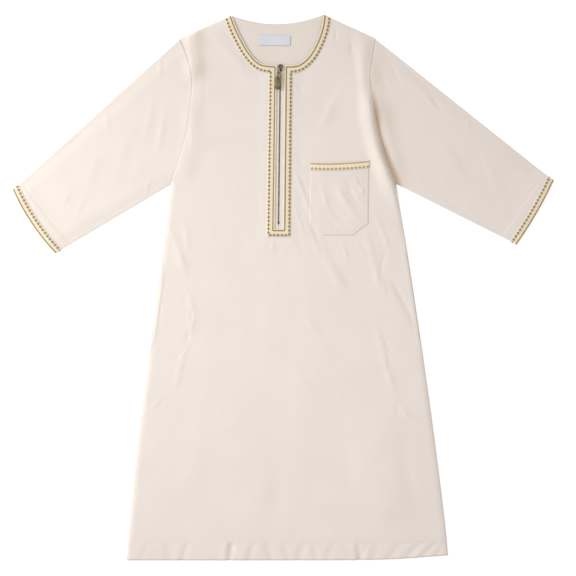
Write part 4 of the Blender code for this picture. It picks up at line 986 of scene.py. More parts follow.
def braid_outer_edge(side, edge):
    """The opening's edge moved out by the braid's width, mitred at the top of the slit and ending on
    the shoulder seam."""
    corner = SLIT_ROWS + CHEST_ROWS
    beside = offset_path(edge[:corner + 1], side * BRAID_WIDTH)
    around = offset_path(edge[corner:], side * BRAID_WIDTH)
    (low_x, low_y), (high_x, high_y) = beside[0], beside[-1]
    slope = (high_x - low_x) / (high_y - low_y)
    past = side * (around[:, 0] - low_x - slope * (around[:, 1] - low_y))
    first = int(np.argmax(past > 0.0))
    share = past[first - 1] / (past[first - 1] - past[first])
    mitre = (1.0 - share) * around[first - 1] + share * around[first]
    along = np.asarray(ARMHOLE[NAMES[side]][-1]) - edge[-1]
    around[-1] = edge[-1] + along / np.hypot(*along) * BRAID_WIDTH
    around = evenly(np.vstack([mitre, around[first:]]), NECK_ROWS)
    return np.vstack([line(beside[0], mitre, corner)[:-1], around])


def side_edge(side, drawn_in):
    """Side seam and armhole by row, with the front's edge drawn in at the seam pocket's mouth."""
    name = NAMES[side]
    side_rows = smooth_curve(SIDE[name], WAIST)
    if drawn_in:
        opening = mouth_opening(name, side_rows[:, 1], MOUTH["inset_fade"])
        side_rows[:, 0] -= side * MOUTH_INSET[name] * opening
    return np.vstack([side_rows[:-1], smooth_curve(ARMHOLE[name], ARMHOLE_ROWS)])


def front_half(side):
    """Plan points of one half of the front, from its seam to the slit."""
    seam = side_edge(side, True)
    edge = opening_edge(side)
    outer = braid_outer_edge(side, edge)
    foot_y = ZIP_FOOT[1] - BRAID_WIDTH
    foot_edge = np.array([slit_edge(side, foot_y), foot_y])
    foot_outer = np.array([foot_edge[0] + side * BRAID_WIDTH, foot_y])
    hem_edge = np.array([CENTRE_HEM_X + side * SLIT_HALF_FOOT, HEM_LOW])
    hem_outer = hem_edge + np.array([side * BRAID_WIDTH, 0.0])
    edge = np.vstack([line(hem_edge, foot_edge, SKIRT_ROWS)[:-1],
                      line(foot_edge, edge[0], FOOT_ROWS)[:-1], edge])
    outer = np.vstack([line(hem_outer, foot_outer, SKIRT_ROWS)[:-1],
                       line(foot_outer, outer[0], FOOT_ROWS)[:-1], outer])
    hem_x, hem_y = smooth_curve(HEM, HEM_STEPS).T
    low_x = np.linspace(seam[0, 0], hem_outer[0], SIDE_CELLS + 1)
    hem_row = np.stack([low_x, np.interp(low_x, hem_x, hem_y)], axis=1)
    waist_row = line(seam[WAIST], outer[WAIST], SIDE_CELLS)
    shoulder = line(seam[-1], outer[-1], SIDE_CELLS)
    skirt = coons(hem_row, waist_row, seam[:WAIST + 1], outer[:WAIST + 1])
    chest = coons(waist_row, shoulder, seam[WAIST:], outer[WAIST:])
    cloth = np.vstack([skirt[:-1], chest])
    t = np.linspace(0.0, 1.0, BAND_CELLS + 1)[None, :, None]
    band = (1 - t) * outer[:, None] + t * edge[:, None]
    return np.concatenate([cloth, band[:, 1:]], axis=1)


def front_plan():
    """Plan points of the whole front, and which of its cells are cloth."""
    right, left = front_half(-1), front_half(1)
    t = np.linspace(0.0, 1.0, SLIT_CELLS + 1)[None, 1:-1, None]
    middle = (1 - t) * right[:, -1:] + t * left[:, -1:]
    plan = np.concatenate([right, middle, left[:, ::-1]], axis=1)
    keep = np.ones((plan.shape[0] - 1, plan.shape[1] - 1), bool)
    first = SIDE_CELLS + BAND_CELLS
    keep[SKIRT_ROWS + FOOT_ROWS:, first:first + SLIT_CELLS] = False
    return plan, keep


def front_cloth():
    """The front panel's shell."""
    plan, keep = front_plan()
    x, y = plan[..., 0], plan[..., 1]
    # the painted shade in the lee of the folds is laid with the grid as a mark
    grid = lay_plan("front_cloth", plan, front_height(x, y), CLOTH_FINISH, keep, hollow=hollows(x, y))
    return thicken(grid, CLOTH), flat_area(plan, keep)


def back_height(x, y):
    """Inner face of the back: nearly flat, but lifted under the neckline on the wearer's right."""
    from_neck = distance_to(smooth_curve(NECK["right"], EDGE_STEPS), x, y)
    from_shoulder = distance_to(shoulder_seam("right"), x, y)
    from_slit = np.hypot(x - ZIP_TOP[0], y - ZIP_TOP[1])
    lifted = 1.0 - smooth_step((from_neck - NECK_LIFT["from"]) / NECK_LIFT["fade"])
    lifted = lifted * smooth_step(from_shoulder / SHOULDER_RISE)
    lifted = lifted * smooth_step((from_slit - NECK_LIFT["slit_from"]) / NECK_LIFT["slit_fade"])
    waves = BACK["waves"] * drift(x, y, *BACK["drift"])
    return BACK["level"] + waves + NECK_LIFT["height"] * lifted


def back_cloth():
    """The back panel's shell, flat on the floor, with slight waves on its inner face."""
    right, left = [evenly(side_edge(side, False), BACK["rows"]) for side in NAMES]
    neck = line(NECK["right"][0], NECK["left"][0], BACK["neck_steps"])
    across = np.linspace(-1.0, 1.0, BACK["neck_steps"] + 1)
    neck[:, 1] -= BACK_NECK_DIP * (1.0 - across ** 2)
    shoulders = evenly(np.vstack([right[-1], neck, left[-1]]), BACK["cells"])
    hem_row = evenly(smooth_curve(HEM, HEM_STEPS), BACK["cells"])
    plan = coons(hem_row, shoulders, right, left)
    # painted shade: the back's cloth takes the darker copy of the cloth's colour
    grid = lay_plan("back_cloth", plan, back_height(plan[..., 0], plan[..., 1]), INSIDE_SHADE_FINISH)
    return thicken(grid, CLOTH), flat_area(plan)


# ---- sleeves -------------------------------------------------------------------------------------
def sleeve_frame(name):
    """The sleeve's armhole and cuff lines, the direction out of its cuff, and its length from the
    armhole at each point of those lines."""
    sign = SIGNS[name]
    size = SLEEVES[name]
    foot, top = np.asarray(size["cuff_foot"]), np.asarray(size["cuff_top"])
    across = (top - foot) / np.hypot(*(top - foot))
    outward = sign * np.array([across[1], -across[0]])
    share = np.linspace(0.0, 1.0, SLEEVE_CELLS + 1)
    cuff = line(foot, top, SLEEVE_CELLS) + (size["bow"] * 4 * share * (1 - share))[:, None] * outward
    armhole = smooth_curve(ARMHOLE[name], SLEEVE_CELLS) - np.array([sign * SLEEVE_TUCK, 0.0])
    return armhole, cuff, outward, (cuff - armhole) @ outward


def sleeve_stations(from_end):
    """Stations of a sleeve at distances from its cuff: 0 at the armhole, then 1 to 2 beside the cuff."""
    return 2.0 - np.asarray(from_end, float) / CUFF_ZONE


def cuff_hem(cells):
    """Depth of the cuff's hem at equal steps across the sleeve, from its under fold to its upper one."""
    return np.interp(np.linspace(0.0, 1.0, cells + 1), (0.0, 0.5, 1.0), CUFF_HEM)


def sleeve_surface(name, stations):
    """Plan of a sleeve pressed flat, and the heights of its under and upper faces."""
    armhole, cuff, _, length = sleeve_frame(name)
    station = np.asarray(stations, float)[:, None]
    beside_cuff = 1.0 - (2.0 - station) * CUFF_ZONE / length
    s = np.where(station < 1.0, station * (1.0 - CUFF_ZONE / length), beside_cuff)
    plan = (1 - s[..., None]) * armhole[None] + s[..., None] * cuff[None]
    x, y = plan[..., 0], plan[..., 1]
    from_end = (1.0 - s) * length
    from_fold = np.minimum(distance_to(line(armhole[0], cuff[0], 1), x, y),
                           distance_to(line(armhole[-1], cuff[-1], 1), x, y))
    from_armhole = distance_to(armhole, x, y)
    lift = CUFF_LIFT * smooth_step((BRAID_WIDTH + CUFF_RAMP - from_end) / CUFF_RAMP)
    at_cuff = smooth_step((BRAID_WIDTH + 2.0 * CUFF_RAMP - from_end) / CUFF_RAMP)
    relief = fold_height(FOLDS, x, y) + fold_height(CREASES, x, y) + unevenness(x, y)
    from_hem = from_end - cuff_hem(SLEEVE_CELLS)
    groove = CUFF_TURN["step"] * smooth_step(-from_hem / CUFF_TURN["slope"])
    groove = groove - CUFF_TURN["groove"] * bell(from_hem, CUFF_TURN["half"])
    inside = smooth_step(from_fold / SLEEVE_FOLD["stiff"])
    air = AIR * smooth_step(from_fold / SLEEVE_FOLD["rise"]) * seam_sink(name, from_armhole)
    tucked = SLEEVE_DROP * (1.0 - smooth_step(from_armhole / SLEEVE_DROP_FADE[name]))
    high = SEAM_Z + WALL + air - tucked + inside * (relief * (1.0 - at_cuff) + groove) + lift
    return plan, SLEEVE_UNDER + lift, high


def sleeve_ring(row, low, high, grow):
    """Closed loop round a flattened sleeve: under it, round one fold, back over it, round the other."""
    across = (row[-1] - row[0]) / np.hypot(*(row[-1] - row[0]))
    flat = row - np.linspace(-1.0, 1.0, len(row))[:, None] * across * SLEEVE_FOLD["inset"]
    under = np.column_stack([flat, low - grow])
    over = np.column_stack([flat, high + grow])[::-1]

    def fold(first, last, reach):
        """Half an oval from one face of the sleeve to the other."""
        turns = np.linspace(0.0, math.pi, SLEEVE_FOLD["turns"] + 2)[1:-1]
        middle, half = (first + last) / 2, (first - last) / 2
        return [middle + half * math.cos(turn) + np.append(reach, 0.0) * math.sin(turn) for turn in turns]

    reach = across * (SLEEVE_FOLD["reach"] + grow)
    return np.array([*under, *fold(under[-1], over[0], reach), *over,
                     *fold(over[-1], under[0], -reach), under[0]])


def sleeve_rings(name, stations, grow=0.0):
    """Loops round a sleeve at the stations, stood off its cloth by grow."""
    plan, low, high = sleeve_surface(name, stations)
    grow = np.broadcast_to(grow, len(stations))
    return np.array([sleeve_ring(plan[k], low[k], high[k], grow[k]) for k in range(len(stations))])


def sleeve_cloth(name):
    """One sleeve's shell, open at armhole and cuff."""
    stations = np.concatenate([np.linspace(0.0, 1.0, SLEEVE_ROWS, endpoint=False),
                               np.linspace(1.0, 2.0, CUFF_ROWS)])
    rings = sleeve_rings(name, stations)
    plan = sleeve_surface(name, stations)[0]
    shaded = np.zeros(rings.shape[:2])
    first = SLEEVE_CELLS + 1 + SLEEVE_FOLD["turns"]
    # painted shade in the lee of the folds, on the sleeve's upper face
    shaded[:, first:first + SLEEVE_CELLS + 1] = hollows(plan[..., 0], plan[..., 1])[:, ::-1]
    piece = lay(f"sleeve_{name}_cloth", rings, CLOTH_FINISH, closed=True, hollow=shaded)
    return thicken(piece, CLOTH), 2.0 * flat_area(plan)


def cuff_ring(name, from_end, grow):
    """Path round a cuff at a distance from its end, and the direction across it."""
    path = sleeve_rings(name, sleeve_stations([from_end]), grow)[0]
    return path, np.append(SIGNS[name] * sleeve_frame(name)[2], 0.0)


def cuff_stitches(name):
    """Stitching along the cuff's hem, under and over the sleeve."""
    rings = sleeve_rings(name, sleeve_stations(cuff_hem(SLEEVE_CELLS)))
    k = np.arange(2, SLEEVE_CELLS - 1)
    under = rings[k, k]
    over = rings[k, len(rings[0]) - 2 - SLEEVE_FOLD["turns"] - k]
    return threads(f"cuff_hem_{name}_stitches", [stitches(under), stitches(over)], SEWING_THREAD)


def braid_border(at):
    """0 on a braid's ground, rising to 1 at its outer border, at distances from its edge."""
    return smooth_step((np.asarray(at) - BORDER_AT) / BORDER_WIDTH)


def braid_rise(at):
    """Height of a braid's ground above its cloth: it thins to nothing at its outer border."""
    border = braid_border(at)
    return (GAP + BRAID_GROUND - BRAID_SUNK) * (1.0 - border) + BORDER_RISE * border


def cuff_braid(name):
    """The braid round a cuff: its ground, gold line, motifs and edge, and the hem's stitches."""
    size = CUFF_BRAID
    at = np.linspace(BRAID_WIDTH, 0.0, BRAID_ROWS + 1)
    rings = sleeve_rings(name, sleeve_stations(at), braid_rise(at))
    ground = lay(f"cuff_braid_{name}_ground", rings, BRAID_FINISH, closed=True,
                 border=braid_border(at)[:, None])
    off = braid_rise(0.0)
    path, across = cuff_ring(name, size["gold_at"], off)
    gold = [satin(path, size["gold"], size["tall"], across)]
    path, across = cuff_ring(name, size["motif_at"], off)
    gold.append(motifs(path, size["motif_tall"], across))
    gold = threads(f"cuff_braid_{name}_gold", gold, GOLD_THREAD)
    path, across = cuff_ring(name, size["edge_at"], off - BRAID_SUNK)
    edge = satin(path, size["edge"], size["edge_tall"], across)
    cream = threads(f"cuff_braid_{name}_edges", [edge], CREAM_THREAD)
    return thicken(ground, BRAID_GROUND), [gold, cream, cuff_stitches(name)]


# ---- neck braid ----------------------------------------------------------------------------------
def braid_path(at):
    """Line along the neck braid at a distance from the opening's edge, down one side and up the other."""
    sides = []
    for side in NAMES:
        edge = opening_edge(side)
        outer = braid_outer_edge(side, edge)
        sides.append(edge + (outer - edge) * at / BRAID_WIDTH)
    foot = ZIP_FOOT[1] - at
    corners = [(slit_edge(side, ZIP_FOOT[1]) + side * at, foot) for side in NAMES]
    return np.vstack([sides[0][::-1], corners, sides[1]])


def on_front(path):
    """A plan path laid on the ground of the neck braid, finely stepped."""
    path = resample(path, np.linspace(0.0, 1.0, int(path_length(path) / PATH_STEP) + 2))
    return np.column_stack([path, front_height(path[:, 0], path[:, 1]) + braid_rise(0.0)])


def neck_braid():
    """The braid round the neck and down both sides of the zip."""
    size = NECK_BRAID
    plan, keep = front_plan()
    first, last = SIDE_CELLS, SIDE_CELLS + 2 * BAND_CELLS + SLIT_CELLS
    band = plan[SKIRT_ROWS:, first:last + 1]
    beside = np.linspace(BRAID_WIDTH, 0.0, BAND_CELLS + 1)
    beside = np.concatenate([beside, np.zeros(SLIT_CELLS - 1), beside[::-1]])
    below = np.zeros(len(band))
    below[:FOOT_ROWS + 1] = np.linspace(BRAID_WIDTH, 0.0, FOOT_ROWS + 1)
    at = np.maximum(beside[None, :], below[:, None])
    heights = front_height(band[..., 0], band[..., 1]) + braid_rise(at)
    ground = lay_plan("neck_braid_ground", band, heights, BRAID_FINISH, keep[SKIRT_ROWS:, first:last],
                      border=braid_border(at))
    gold = [satin(on_front(braid_path(size["gold_at"])), size["gold"], size["tall"]),
            motifs(on_front(braid_path(size["motif_at"])))]
    gold = threads("neck_braid_gold", gold, GOLD_THREAD)
    edge = satin(on_front(braid_path(size["edge_at"])), size["edge"], size["tall"])
    cream = threads("neck_braid_edges", [edge], CREAM_THREAD)
    return thicken(ground, BRAID_GROUND), [gold, cream]


# ---- chest pocket --------------------------------------------------------------------------------
def pocket_mouth(start, end, count):
    """The pocket's mouth between two points, sagging in the middle."""
    share = np.linspace(0.0, 1.0, count + 1)
    sag = 4.0 * POCKET_SAG * share * (1.0 - share)
    return line(start, end, count) - np.stack([np.zeros(count + 1), sag], axis=1)


def pocket_plan(rows, columns):
    """Plan points of the patch pocket with its lower corners cut off."""
    low, mouth = evenly(POCKET["foot"], columns), pocket_mouth(*POCKET["mouth"], columns)
    return coons(low, mouth, line(low[0], mouth[0], rows), line(low[-1], mouth[-1], rows))


def pocket_height(x, y):
    """Upper face of the pocket: a little puffed, sunk at its stitching, turned in at its edges."""
    foot, mouth = POCKET["foot"], POCKET["mouth"]
    puff, form = POCKET_PUFF, POCKET_FORM
    sewn = distance_to([mouth[0], *foot, mouth[1]], x, y)
    free = distance_to(pocket_mouth(*mouth, EDGE_STEPS), x, y)
    lifted = puff["mouth"] * smooth_step(1.0 - free / puff["mouth_reach"])
    lifted = lifted * smooth_step(sewn / puff["mouth_sides"])
    lifted = puff["height"] * smooth_step(sewn / puff["reach"]) + lifted
    sunk = sum(depth * bell(sewn - inset, form["sewing_half"]) for inset, depth in POCKET_SEWING)
    sunk = sunk + form["hem_groove"] * bell(free - POCKET_HEM, form["hem_half"])
    turned = form["turn"] * (1.0 - smooth_step(sewn / form["turn_reach"]))
    relief = fold_height(POCKET_CREASES, x, y) + form["waves"] * drift(x, y, *form["drift"])
    above = POCKET_STEP + lifted - sunk - turned + smooth_step(sewn / form["stiff"]) * relief
    return front_height(x, y) + np.maximum(above, POCKET_LOWEST)


def on_pocket(path, off):
    """A plan path laid on the pocket and raised off it."""
    return np.column_stack([path, pocket_height(*path.T) + off])


def pocket_cloth():
    """The patch pocket and its two rows of topstitching."""
    plan = pocket_plan(*POCKET_CELLS)
    heights = pocket_height(plan[..., 0], plan[..., 1])
    cloth = thicken(lay_plan("chest_pocket_cloth", plan, heights, CLOTH_FINISH), DOUBLED)
    foot, mouth = POCKET["foot"], POCKET["mouth"]
    outline = [mouth[0], *foot, mouth[1]]
    rows = []
    for inset, _ in POCKET_SEWING:
        path = evenly(offset_path(outline, -inset), POCKET_FORM["stitch_steps"])
        rows.append(stitches(on_pocket(path, POCKET_FORM["stitch_rise"])))
    return cloth, threads("chest_pocket_stitches", rows, SEWING_THREAD), flat_area(plan)


def pocket_braid():
    """The braid along the pocket's mouth: its ground, gold line, motifs and edge."""
    size = POCKET_BRAID
    left, right = [np.asarray(end, float) for end in POCKET["mouth"]]
    down = np.array([0.0, -1.0])
    across = (right - left) / np.hypot(*(right - left))
    inner = [left - across * size["insets"][0], right + across * size["insets"][1]]
    at = np.linspace(BRAID_WIDTH, size["first"], BRAID_ROWS + 1)[:, None]
    band = pocket_mouth(*inner, size["cells"])[None] + at[..., None] * down
    heights = pocket_height(band[..., 0], band[..., 1]) + braid_rise(at)
    ground = lay_plan("pocket_braid_ground", band, heights, PALE_BRAID_FINISH, border=braid_border(at))

    def row(at):
        """Line along the braid at a distance from the mouth."""
        return on_pocket(pocket_mouth(*inner, size["steps"]) + at * down, braid_rise(0.0))

    gold = [satin(row(size["gold_at"]), size["gold"], size["tall"]), motifs(row(size["motif_at"]))]
    gold = threads("pocket_braid_gold", gold, PALE_GOLD_THREAD)
    edge = satin(row(size["edge_at"]), size["edge"], size["edge_tall"])
    return thicken(ground, BRAID_GROUND), [gold, threads("pocket_braid_edges", [edge], CREAM_THREAD)]


# ---- seam pockets and label ----------------------------------------------------------------------
def side_bag(name):
    """Bag of a seam pocket, pressed flat between front and back, its mouth at the side seam."""
    low, high = POCKET_MOUTH[name]
    inner = smooth_curve(BAG_EDGE[name], BAG["rows"])
    seam_x, seam_y = smooth_curve(SIDE[name], BAG["seam_steps"]).T
    outer_y = np.linspace(high - BAG["above"], inner[-1, 1] + BAG["below"], BAG["rows"] + 1)
    at_mouth = mouth_opening(name, outer_y, BAG["fade"]) * (outer_y >= low)
    inset = BAG["inset"] + BAG["open_inset"] * (1.0 - at_mouth)
    outer_x = np.interp(outer_y, seam_y, seam_x) - SIGNS[name] * inset
    outer = np.stack([outer_x, outer_y], axis=1)
    t = np.linspace(0.0, 1.0, BAG["cells"] + 1)[None, :, None]
    plan = ((1 - t) * inner[:, None] + t * outer[:, None])[::-1, ::int(SIGNS[name])]
    heights = BAG["level"] + BAG["waves"] * drift(plan[..., 0], plan[..., 1], *BAG["drift"])
    piece = lay_plan(f"side_bag_{name}_lining", plan, heights, LINING_FINISH)
    return thicken(piece, DOUBLED), flat_area(plan)


def mouth_stitches(name):
    """Topstitching along the seam pocket's free front edge."""
    low, high = POCKET_MOUTH[name]
    seam = side_edge(int(SIGNS[name]), True)
    y = np.linspace(low - MOUTH["stitch_past"], high + MOUTH["stitch_past"], MOUTH["stitch_points"])
    x = np.interp(y, seam[:, 1], seam[:, 0]) - SIGNS[name] * MOUTH["stitch_inset"]
    path = np.column_stack([x, y, front_height(x, y) + STITCH_RISE])
    return threads(f"side_mouth_{name}_stitches", [stitches(path)], SEWING_THREAD)


def neck_label():
    """Bare woven label on the inside of the back's neck, its two ends folded and stitched down."""
    half_w, half_h = LABEL["width"] / 2, LABEL["height"] / 2
    columns, rows = LABEL["cells"]
    x, y = np.meshgrid(np.linspace(-half_w, half_w, columns + 1), np.linspace(-half_h, half_h, rows + 1))
    ends = smooth_step((half_w - np.abs(x)) / LABEL["end"])
    wave_x, wave_y = LABEL["wave_lengths"]
    waves = LABEL["least"] + LABEL["wave"] * np.sin(x / wave_x + y / wave_y)
    loose = LABEL["puff"] * ends * waves + LABEL["end_rise"] * (1.0 - ends)
    turn = np.array(Matrix.Rotation(math.radians(LABEL["tilt"]), 2)).T

    def laid(px, py, above):
        """Points of the label laid on the back, turned by its tilt."""
        flat = np.stack([px, py], axis=-1) @ turn + np.asarray(LABEL["centre"])
        return np.concatenate([flat, (back_height(flat[..., 0], flat[..., 1]) + above)[..., None]], axis=-1)

    piece = lay("neck_label_cloth", laid(x, y, LABEL["above"] + loose), LABEL_FINISH)
    thicken(piece, LABEL["thickness"])
    sewn, points = [], LABEL["sewn_points"]
    for end in (-1.0, 1.0):
        in_x, in_y = end * (half_w - LABEL["sewn_in"]), half_h - LABEL["sewn_short"]
        path = laid(np.full(points, in_x), np.linspace(-in_y, in_y, points), LABEL["sewn_above"])
        sewn.append(stitches(path, pitch=1.9, long=1.5, wide=0.32))
    return piece, threads("neck_label_stitches", sewn, CREAM_THREAD)


# ---- zip -----------------------------------------------------------------------------------------
def zip_place():
    """From the zip's own axes, in millimetres, to the robe's."""
    slope = math.atan2(ZIP_TOP[0] - ZIP_FOOT[0], ZIP_TOP[1] - ZIP_FOOT[1])
    return Matrix.Translation((*ZIP_TOP, 0.0)) @ Matrix.Rotation(-slope, 4, "Z")


def zip_tape(name):
    """One twill tape with the cord beside its teeth, meeting the other tape below the bottom stop."""
    sign = SIGNS[name]
    rows = int(ZIP_LENGTH / TAPE["cell"])
    share, gy = np.meshgrid(np.linspace(0.0, 1.0, TAPE["cells"] + 1)[::int(sign)],
                            np.linspace(-ZIP_LENGTH - TAPE["below"], TAPE["above"], rows))
    beside = smooth_step(1.0 + (gy + ZIP_LENGTH - CHAIN_FOOT + STOP["long"]) / TAPE["cell"])
    near = TAPE["closed"] + (TAPE["near"] - TAPE["closed"]) * beside
    bead = share * (TAPE["far"] - near)
    cord = TAPE["cord"] * bell(bead - TAPE["cord_at"], TAPE["cord_half"])
    heights = TAPE["top"] + cord - TAPE["fall"] * smooth_step(bead / TAPE["fall_over"])
    heights += TAPE["wave"] * np.sin(gy / TAPE["wave_length"] + sign)
    flat = np.stack([sign * (near + bead), gy, heights, np.ones_like(gy)], axis=-1)
    placed = (flat @ np.array(zip_place()).T)[..., :3]
    return thicken(lay(f"zip_tape_{name}_twill", placed, TAPE_FINISH), TAPE["thickness"])


def zip_teeth():
    """Two rows of closed teeth, each tooth a bevelled block with a narrower head."""
    bm = bmesh.new()
    bmesh.ops.create_cube(bm, size=1.0)
    bmesh.ops.scale(bm, vec=(TOOTH["long"], TOOTH["wide"], TOOTH["tall"]), verts=bm.verts[:])
    head = [vert for vert in bm.verts if vert.co.x > 0.0]
    bmesh.ops.scale(bm, vec=TOOTH["head"], verts=head)
    soften(bm, bm.edges[:], TOOTH["bevel"])
    count = int((ZIP_LENGTH - CHAIN_FOOT) / TOOTH["pitch"])
    places = []
    for k in range(2 * count):
        side = 1.0 if k % 2 else -1.0
        y = TOOTH["first"] - k * TOOTH["pitch"] / 2
        middle = (side * TOOTH["lap"] * TOOTH["long"] / 2, y, TOOTH["middle"])
        turn = Matrix.Rotation(0.0 if side < 0 else math.pi, 4, "Z")
        places.append(zip_place() @ Matrix.Translation(middle) @ turn)
    return copies("zip_teeth_rows", bm, np.array(places), TEETH_FINISH, SHARP)


def plate(bm, outline, low, high, edge):
    """Add a plate from its outline, extruded upwards, with softened edges."""
    corners = [bm.verts.new((x, y, low)) for x, y in outline]
    made = bmesh.ops.extrude_face_region(bm, geom=[bm.faces.new(corners)])
    raised = [item for item in made["geom"] if isinstance(item, bmesh.types.BMVert)]
    bmesh.ops.translate(bm, verts=raised, vec=(0.0, 0.0, high - low))
    edges = {item for vert in corners + raised for item in vert.link_edges}
    soften(bm, list(edges), edge, 2)


def block(bm, half, low_y, high_y, top, edge):
    """Add one block of the stop, as wide as twice its half."""
    plate(bm, [(-half, low_y), (half, low_y), (half, high_y), (-half, high_y)], STOP["low"], top, edge)


def placed_piece(name, bm, finish):
    """A piece made on the zip's axes."""
    bmesh.ops.recalc_face_normals(bm, faces=bm.faces[:])
    bmesh.ops.transform(bm, matrix=zip_place(), verts=bm.verts[:])
    return from_bmesh(name, bm, finish)


def zip_stop():
    """The stop clamped over the lowest teeth, with a groove across it."""
    end = -ZIP_LENGTH + CHAIN_FOOT - STOP["clear"]
    half, top = STOP["half"], STOP["top"]
    (groove_top, groove_foot), (waist_top, waist_foot) = STOP["groove"], STOP["waist"]
    bm = bmesh.new()
    block(bm, half, end - STOP["long"], end - groove_foot, top, STOP["edge"])
    block(bm, half, end - groove_top, end, top, STOP["edge"])
    block(bm, half - STOP["inset"], end - waist_foot, end - waist_top, top - STOP["sunk"],
          STOP["waist_edge"])
    return placed_piece("zip_bottom_stop_brass", bm, BRASS_FINISH)


def slider_body():
    """The slider's two shaped plates, the post between them and its side flanges."""
    outline = SLIDER_OUTLINE + [(-x, y) for x, y in reversed(SLIDER_OUTLINE)]
    bm = bmesh.new()
    for low, high in SLIDER_PLATES:
        plate(bm, outline, low, high, SLIDER["edge"])
    (_, under), (over, deck) = SLIDER_PLATES
    bite = SLIDER["bite"]
    plate(bm, SLIDER_POST, under - bite, over + bite, SLIDER["post_edge"])
    for side in (-1.0, 1.0):
        rail = [(side * x, y) for x, y in SLIDER_RAIL]
        plate(bm, rail, deck - bite, deck + SLIDER["rail_rise"], SLIDER["rail_edge"])
    return placed_piece("zip_slider_body", bm, BRASS_FINISH)


def slider_bail():
    """The bail that arches over the slider's deck and traps the pull's rod."""
    near, far, leg, top, foot = [BAIL[key] for key in ("near", "far", "leg", "top", "foot")]
    inner, cut = top - BAIL["bar"], BAIL["inner_cut"]
    (wide_cut, thin_cut), (small_drop, big_drop) = BAIL["cut"], BAIL["drop"]
    arch = [(near, foot), (near + leg, foot), (near + leg, inner - cut), (near + leg + cut, inner),
            (far - leg - cut, inner), (far - leg, inner - cut), (far - leg, foot), (far, foot),
            (far, top - big_drop), (far - thin_cut, top - small_drop), (far - wide_cut, top),
            (near + wide_cut, top), (near + thin_cut, top - small_drop), (near, top - big_drop)]
    bm = bmesh.new()
    plate(bm, arch, -BAIL["half"], BAIL["half"], BAIL["edge"])
    upright = Matrix(((0, 0, 1, 0), (1, 0, 0, 0), (0, 1, 0, 0), (0, 0, 0, 1)))
    bmesh.ops.transform(bm, matrix=upright, verts=bm.verts[:])
    return placed_piece("zip_slider_bail", bm, BRASS_FINISH)


def slider_hole_shade():
    """A near-black disc on the slider's deck, in front of the bail: painted shade of a hole there."""
    deck = SLIDER_PLATES[1][1]
    bm = bmesh.new()
    bmesh.ops.create_cone(bm, cap_ends=True, segments=HOLE_SHADE["segments"], radius1=HOLE_SHADE["wide"],
                          radius2=HOLE_SHADE["narrow"], depth=HOLE_SHADE["deep"])
    bmesh.ops.translate(bm, verts=bm.verts[:], vec=(0.0, HOLE_SHADE["y"], deck + HOLE_SHADE["rise"]))
    return placed_piece("zip_slider_hole_shade", bm, HOLE_SHADE_FINISH)


def pull_tab():
    """The pull: the solid's own link, rod and tab with softened edges."""
    bm = bmesh.new()
    bm.from_mesh(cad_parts["zip_pull"].data)
    bmesh.ops.remove_doubles(bm, verts=bm.verts[:], dist=WELD)
    flat_angle = math.radians(PULL["flat_angle"])
    bmesh.ops.dissolve_limit(bm, angle_limit=flat_angle, verts=bm.verts[:], edges=bm.edges[:])
    sharp = []
    for edge in bm.edges:
        if len(edge.link_faces) == 2 and edge.calc_face_angle() > PULL["edge_angle"]:
            sharp.append(edge)
    soften(bm, sharp, PULL["edge"] * MM, 2)
    mesh = bpy.data.meshes.new("zip_pull_plate")
    bm.to_mesh(mesh)
    bm.free()
    return shown("zip_pull_plate", mesh, PULL_FINISH, SHARP)


def pull_knurl():
    """The knurled grip on the tab: two rows of ridges that cross each other."""
    axis = Matrix.Translation((0.0, -PULL["axis_back"], 0.0))
    skewed = zip_place() @ axis @ Matrix.Rotation(math.radians(PULL["skew"]), 4, "Z")
    span = KNURL["last"] - KNURL["first"]
    long = 2.0 * KNURL["half_tab"] / math.cos(KNURL["slant"]) - KNURL["inset"]
    size = Matrix.Diagonal((long, KNURL["wide"], KNURL["tall"], 1.0))
    places = []
    for slant in (-1.0, 1.0):
        turn = Matrix.Rotation(slant * KNURL["slant"], 4, "Z")
        for k in range(KNURL["ridges"]):
            y = -KNURL["first"] - span * (k + 0.5) / KNURL["ridges"]
            places.append(skewed @ Matrix.Translation((0.0, y, KNURL["top"])) @ turn @ size)
    bm = bmesh.new()
    bmesh.ops.create_cube(bm, size=1.0)
    soften(bm, bm.edges[:], KNURL["bevel"])
    return copies("zip_pull_knurl", bm, np.array(places), PULL_FINISH, SHARP)


# ---- sewing on the body --------------------------------------------------------------------------
def hem_stitches():
    """The hem's stitch line on the front, and the same on the underside of the back."""
    x, y = smooth_curve(HEM, 2 * HEM_STEPS).T
    keep = (x > x[0] + HEM_STITCH_INSET) & (x < x[-1] - HEM_STITCH_INSET)
    x, y = x[keep], y[keep] + HEM_DEPTH
    front = stitches(np.column_stack([x, y, front_height(x, y) + STITCH_RISE]))
    back = stitches(np.column_stack([x, y, np.full(len(x), BACK["stitch_level"])]))
    return (threads("hem_front_stitches", [front], SEWING_THREAD),
            threads("hem_back_stitches", [back], SEWING_THREAD))


# ---- putting the robe together -------------------------------------------------------------------
def belongs(piece, slot, *nodes, body="robe"):
    """Let a piece ride on its body, in place of its solids. The slot is not used."""
    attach(piece, body)
    if nodes:
        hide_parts(*nodes)


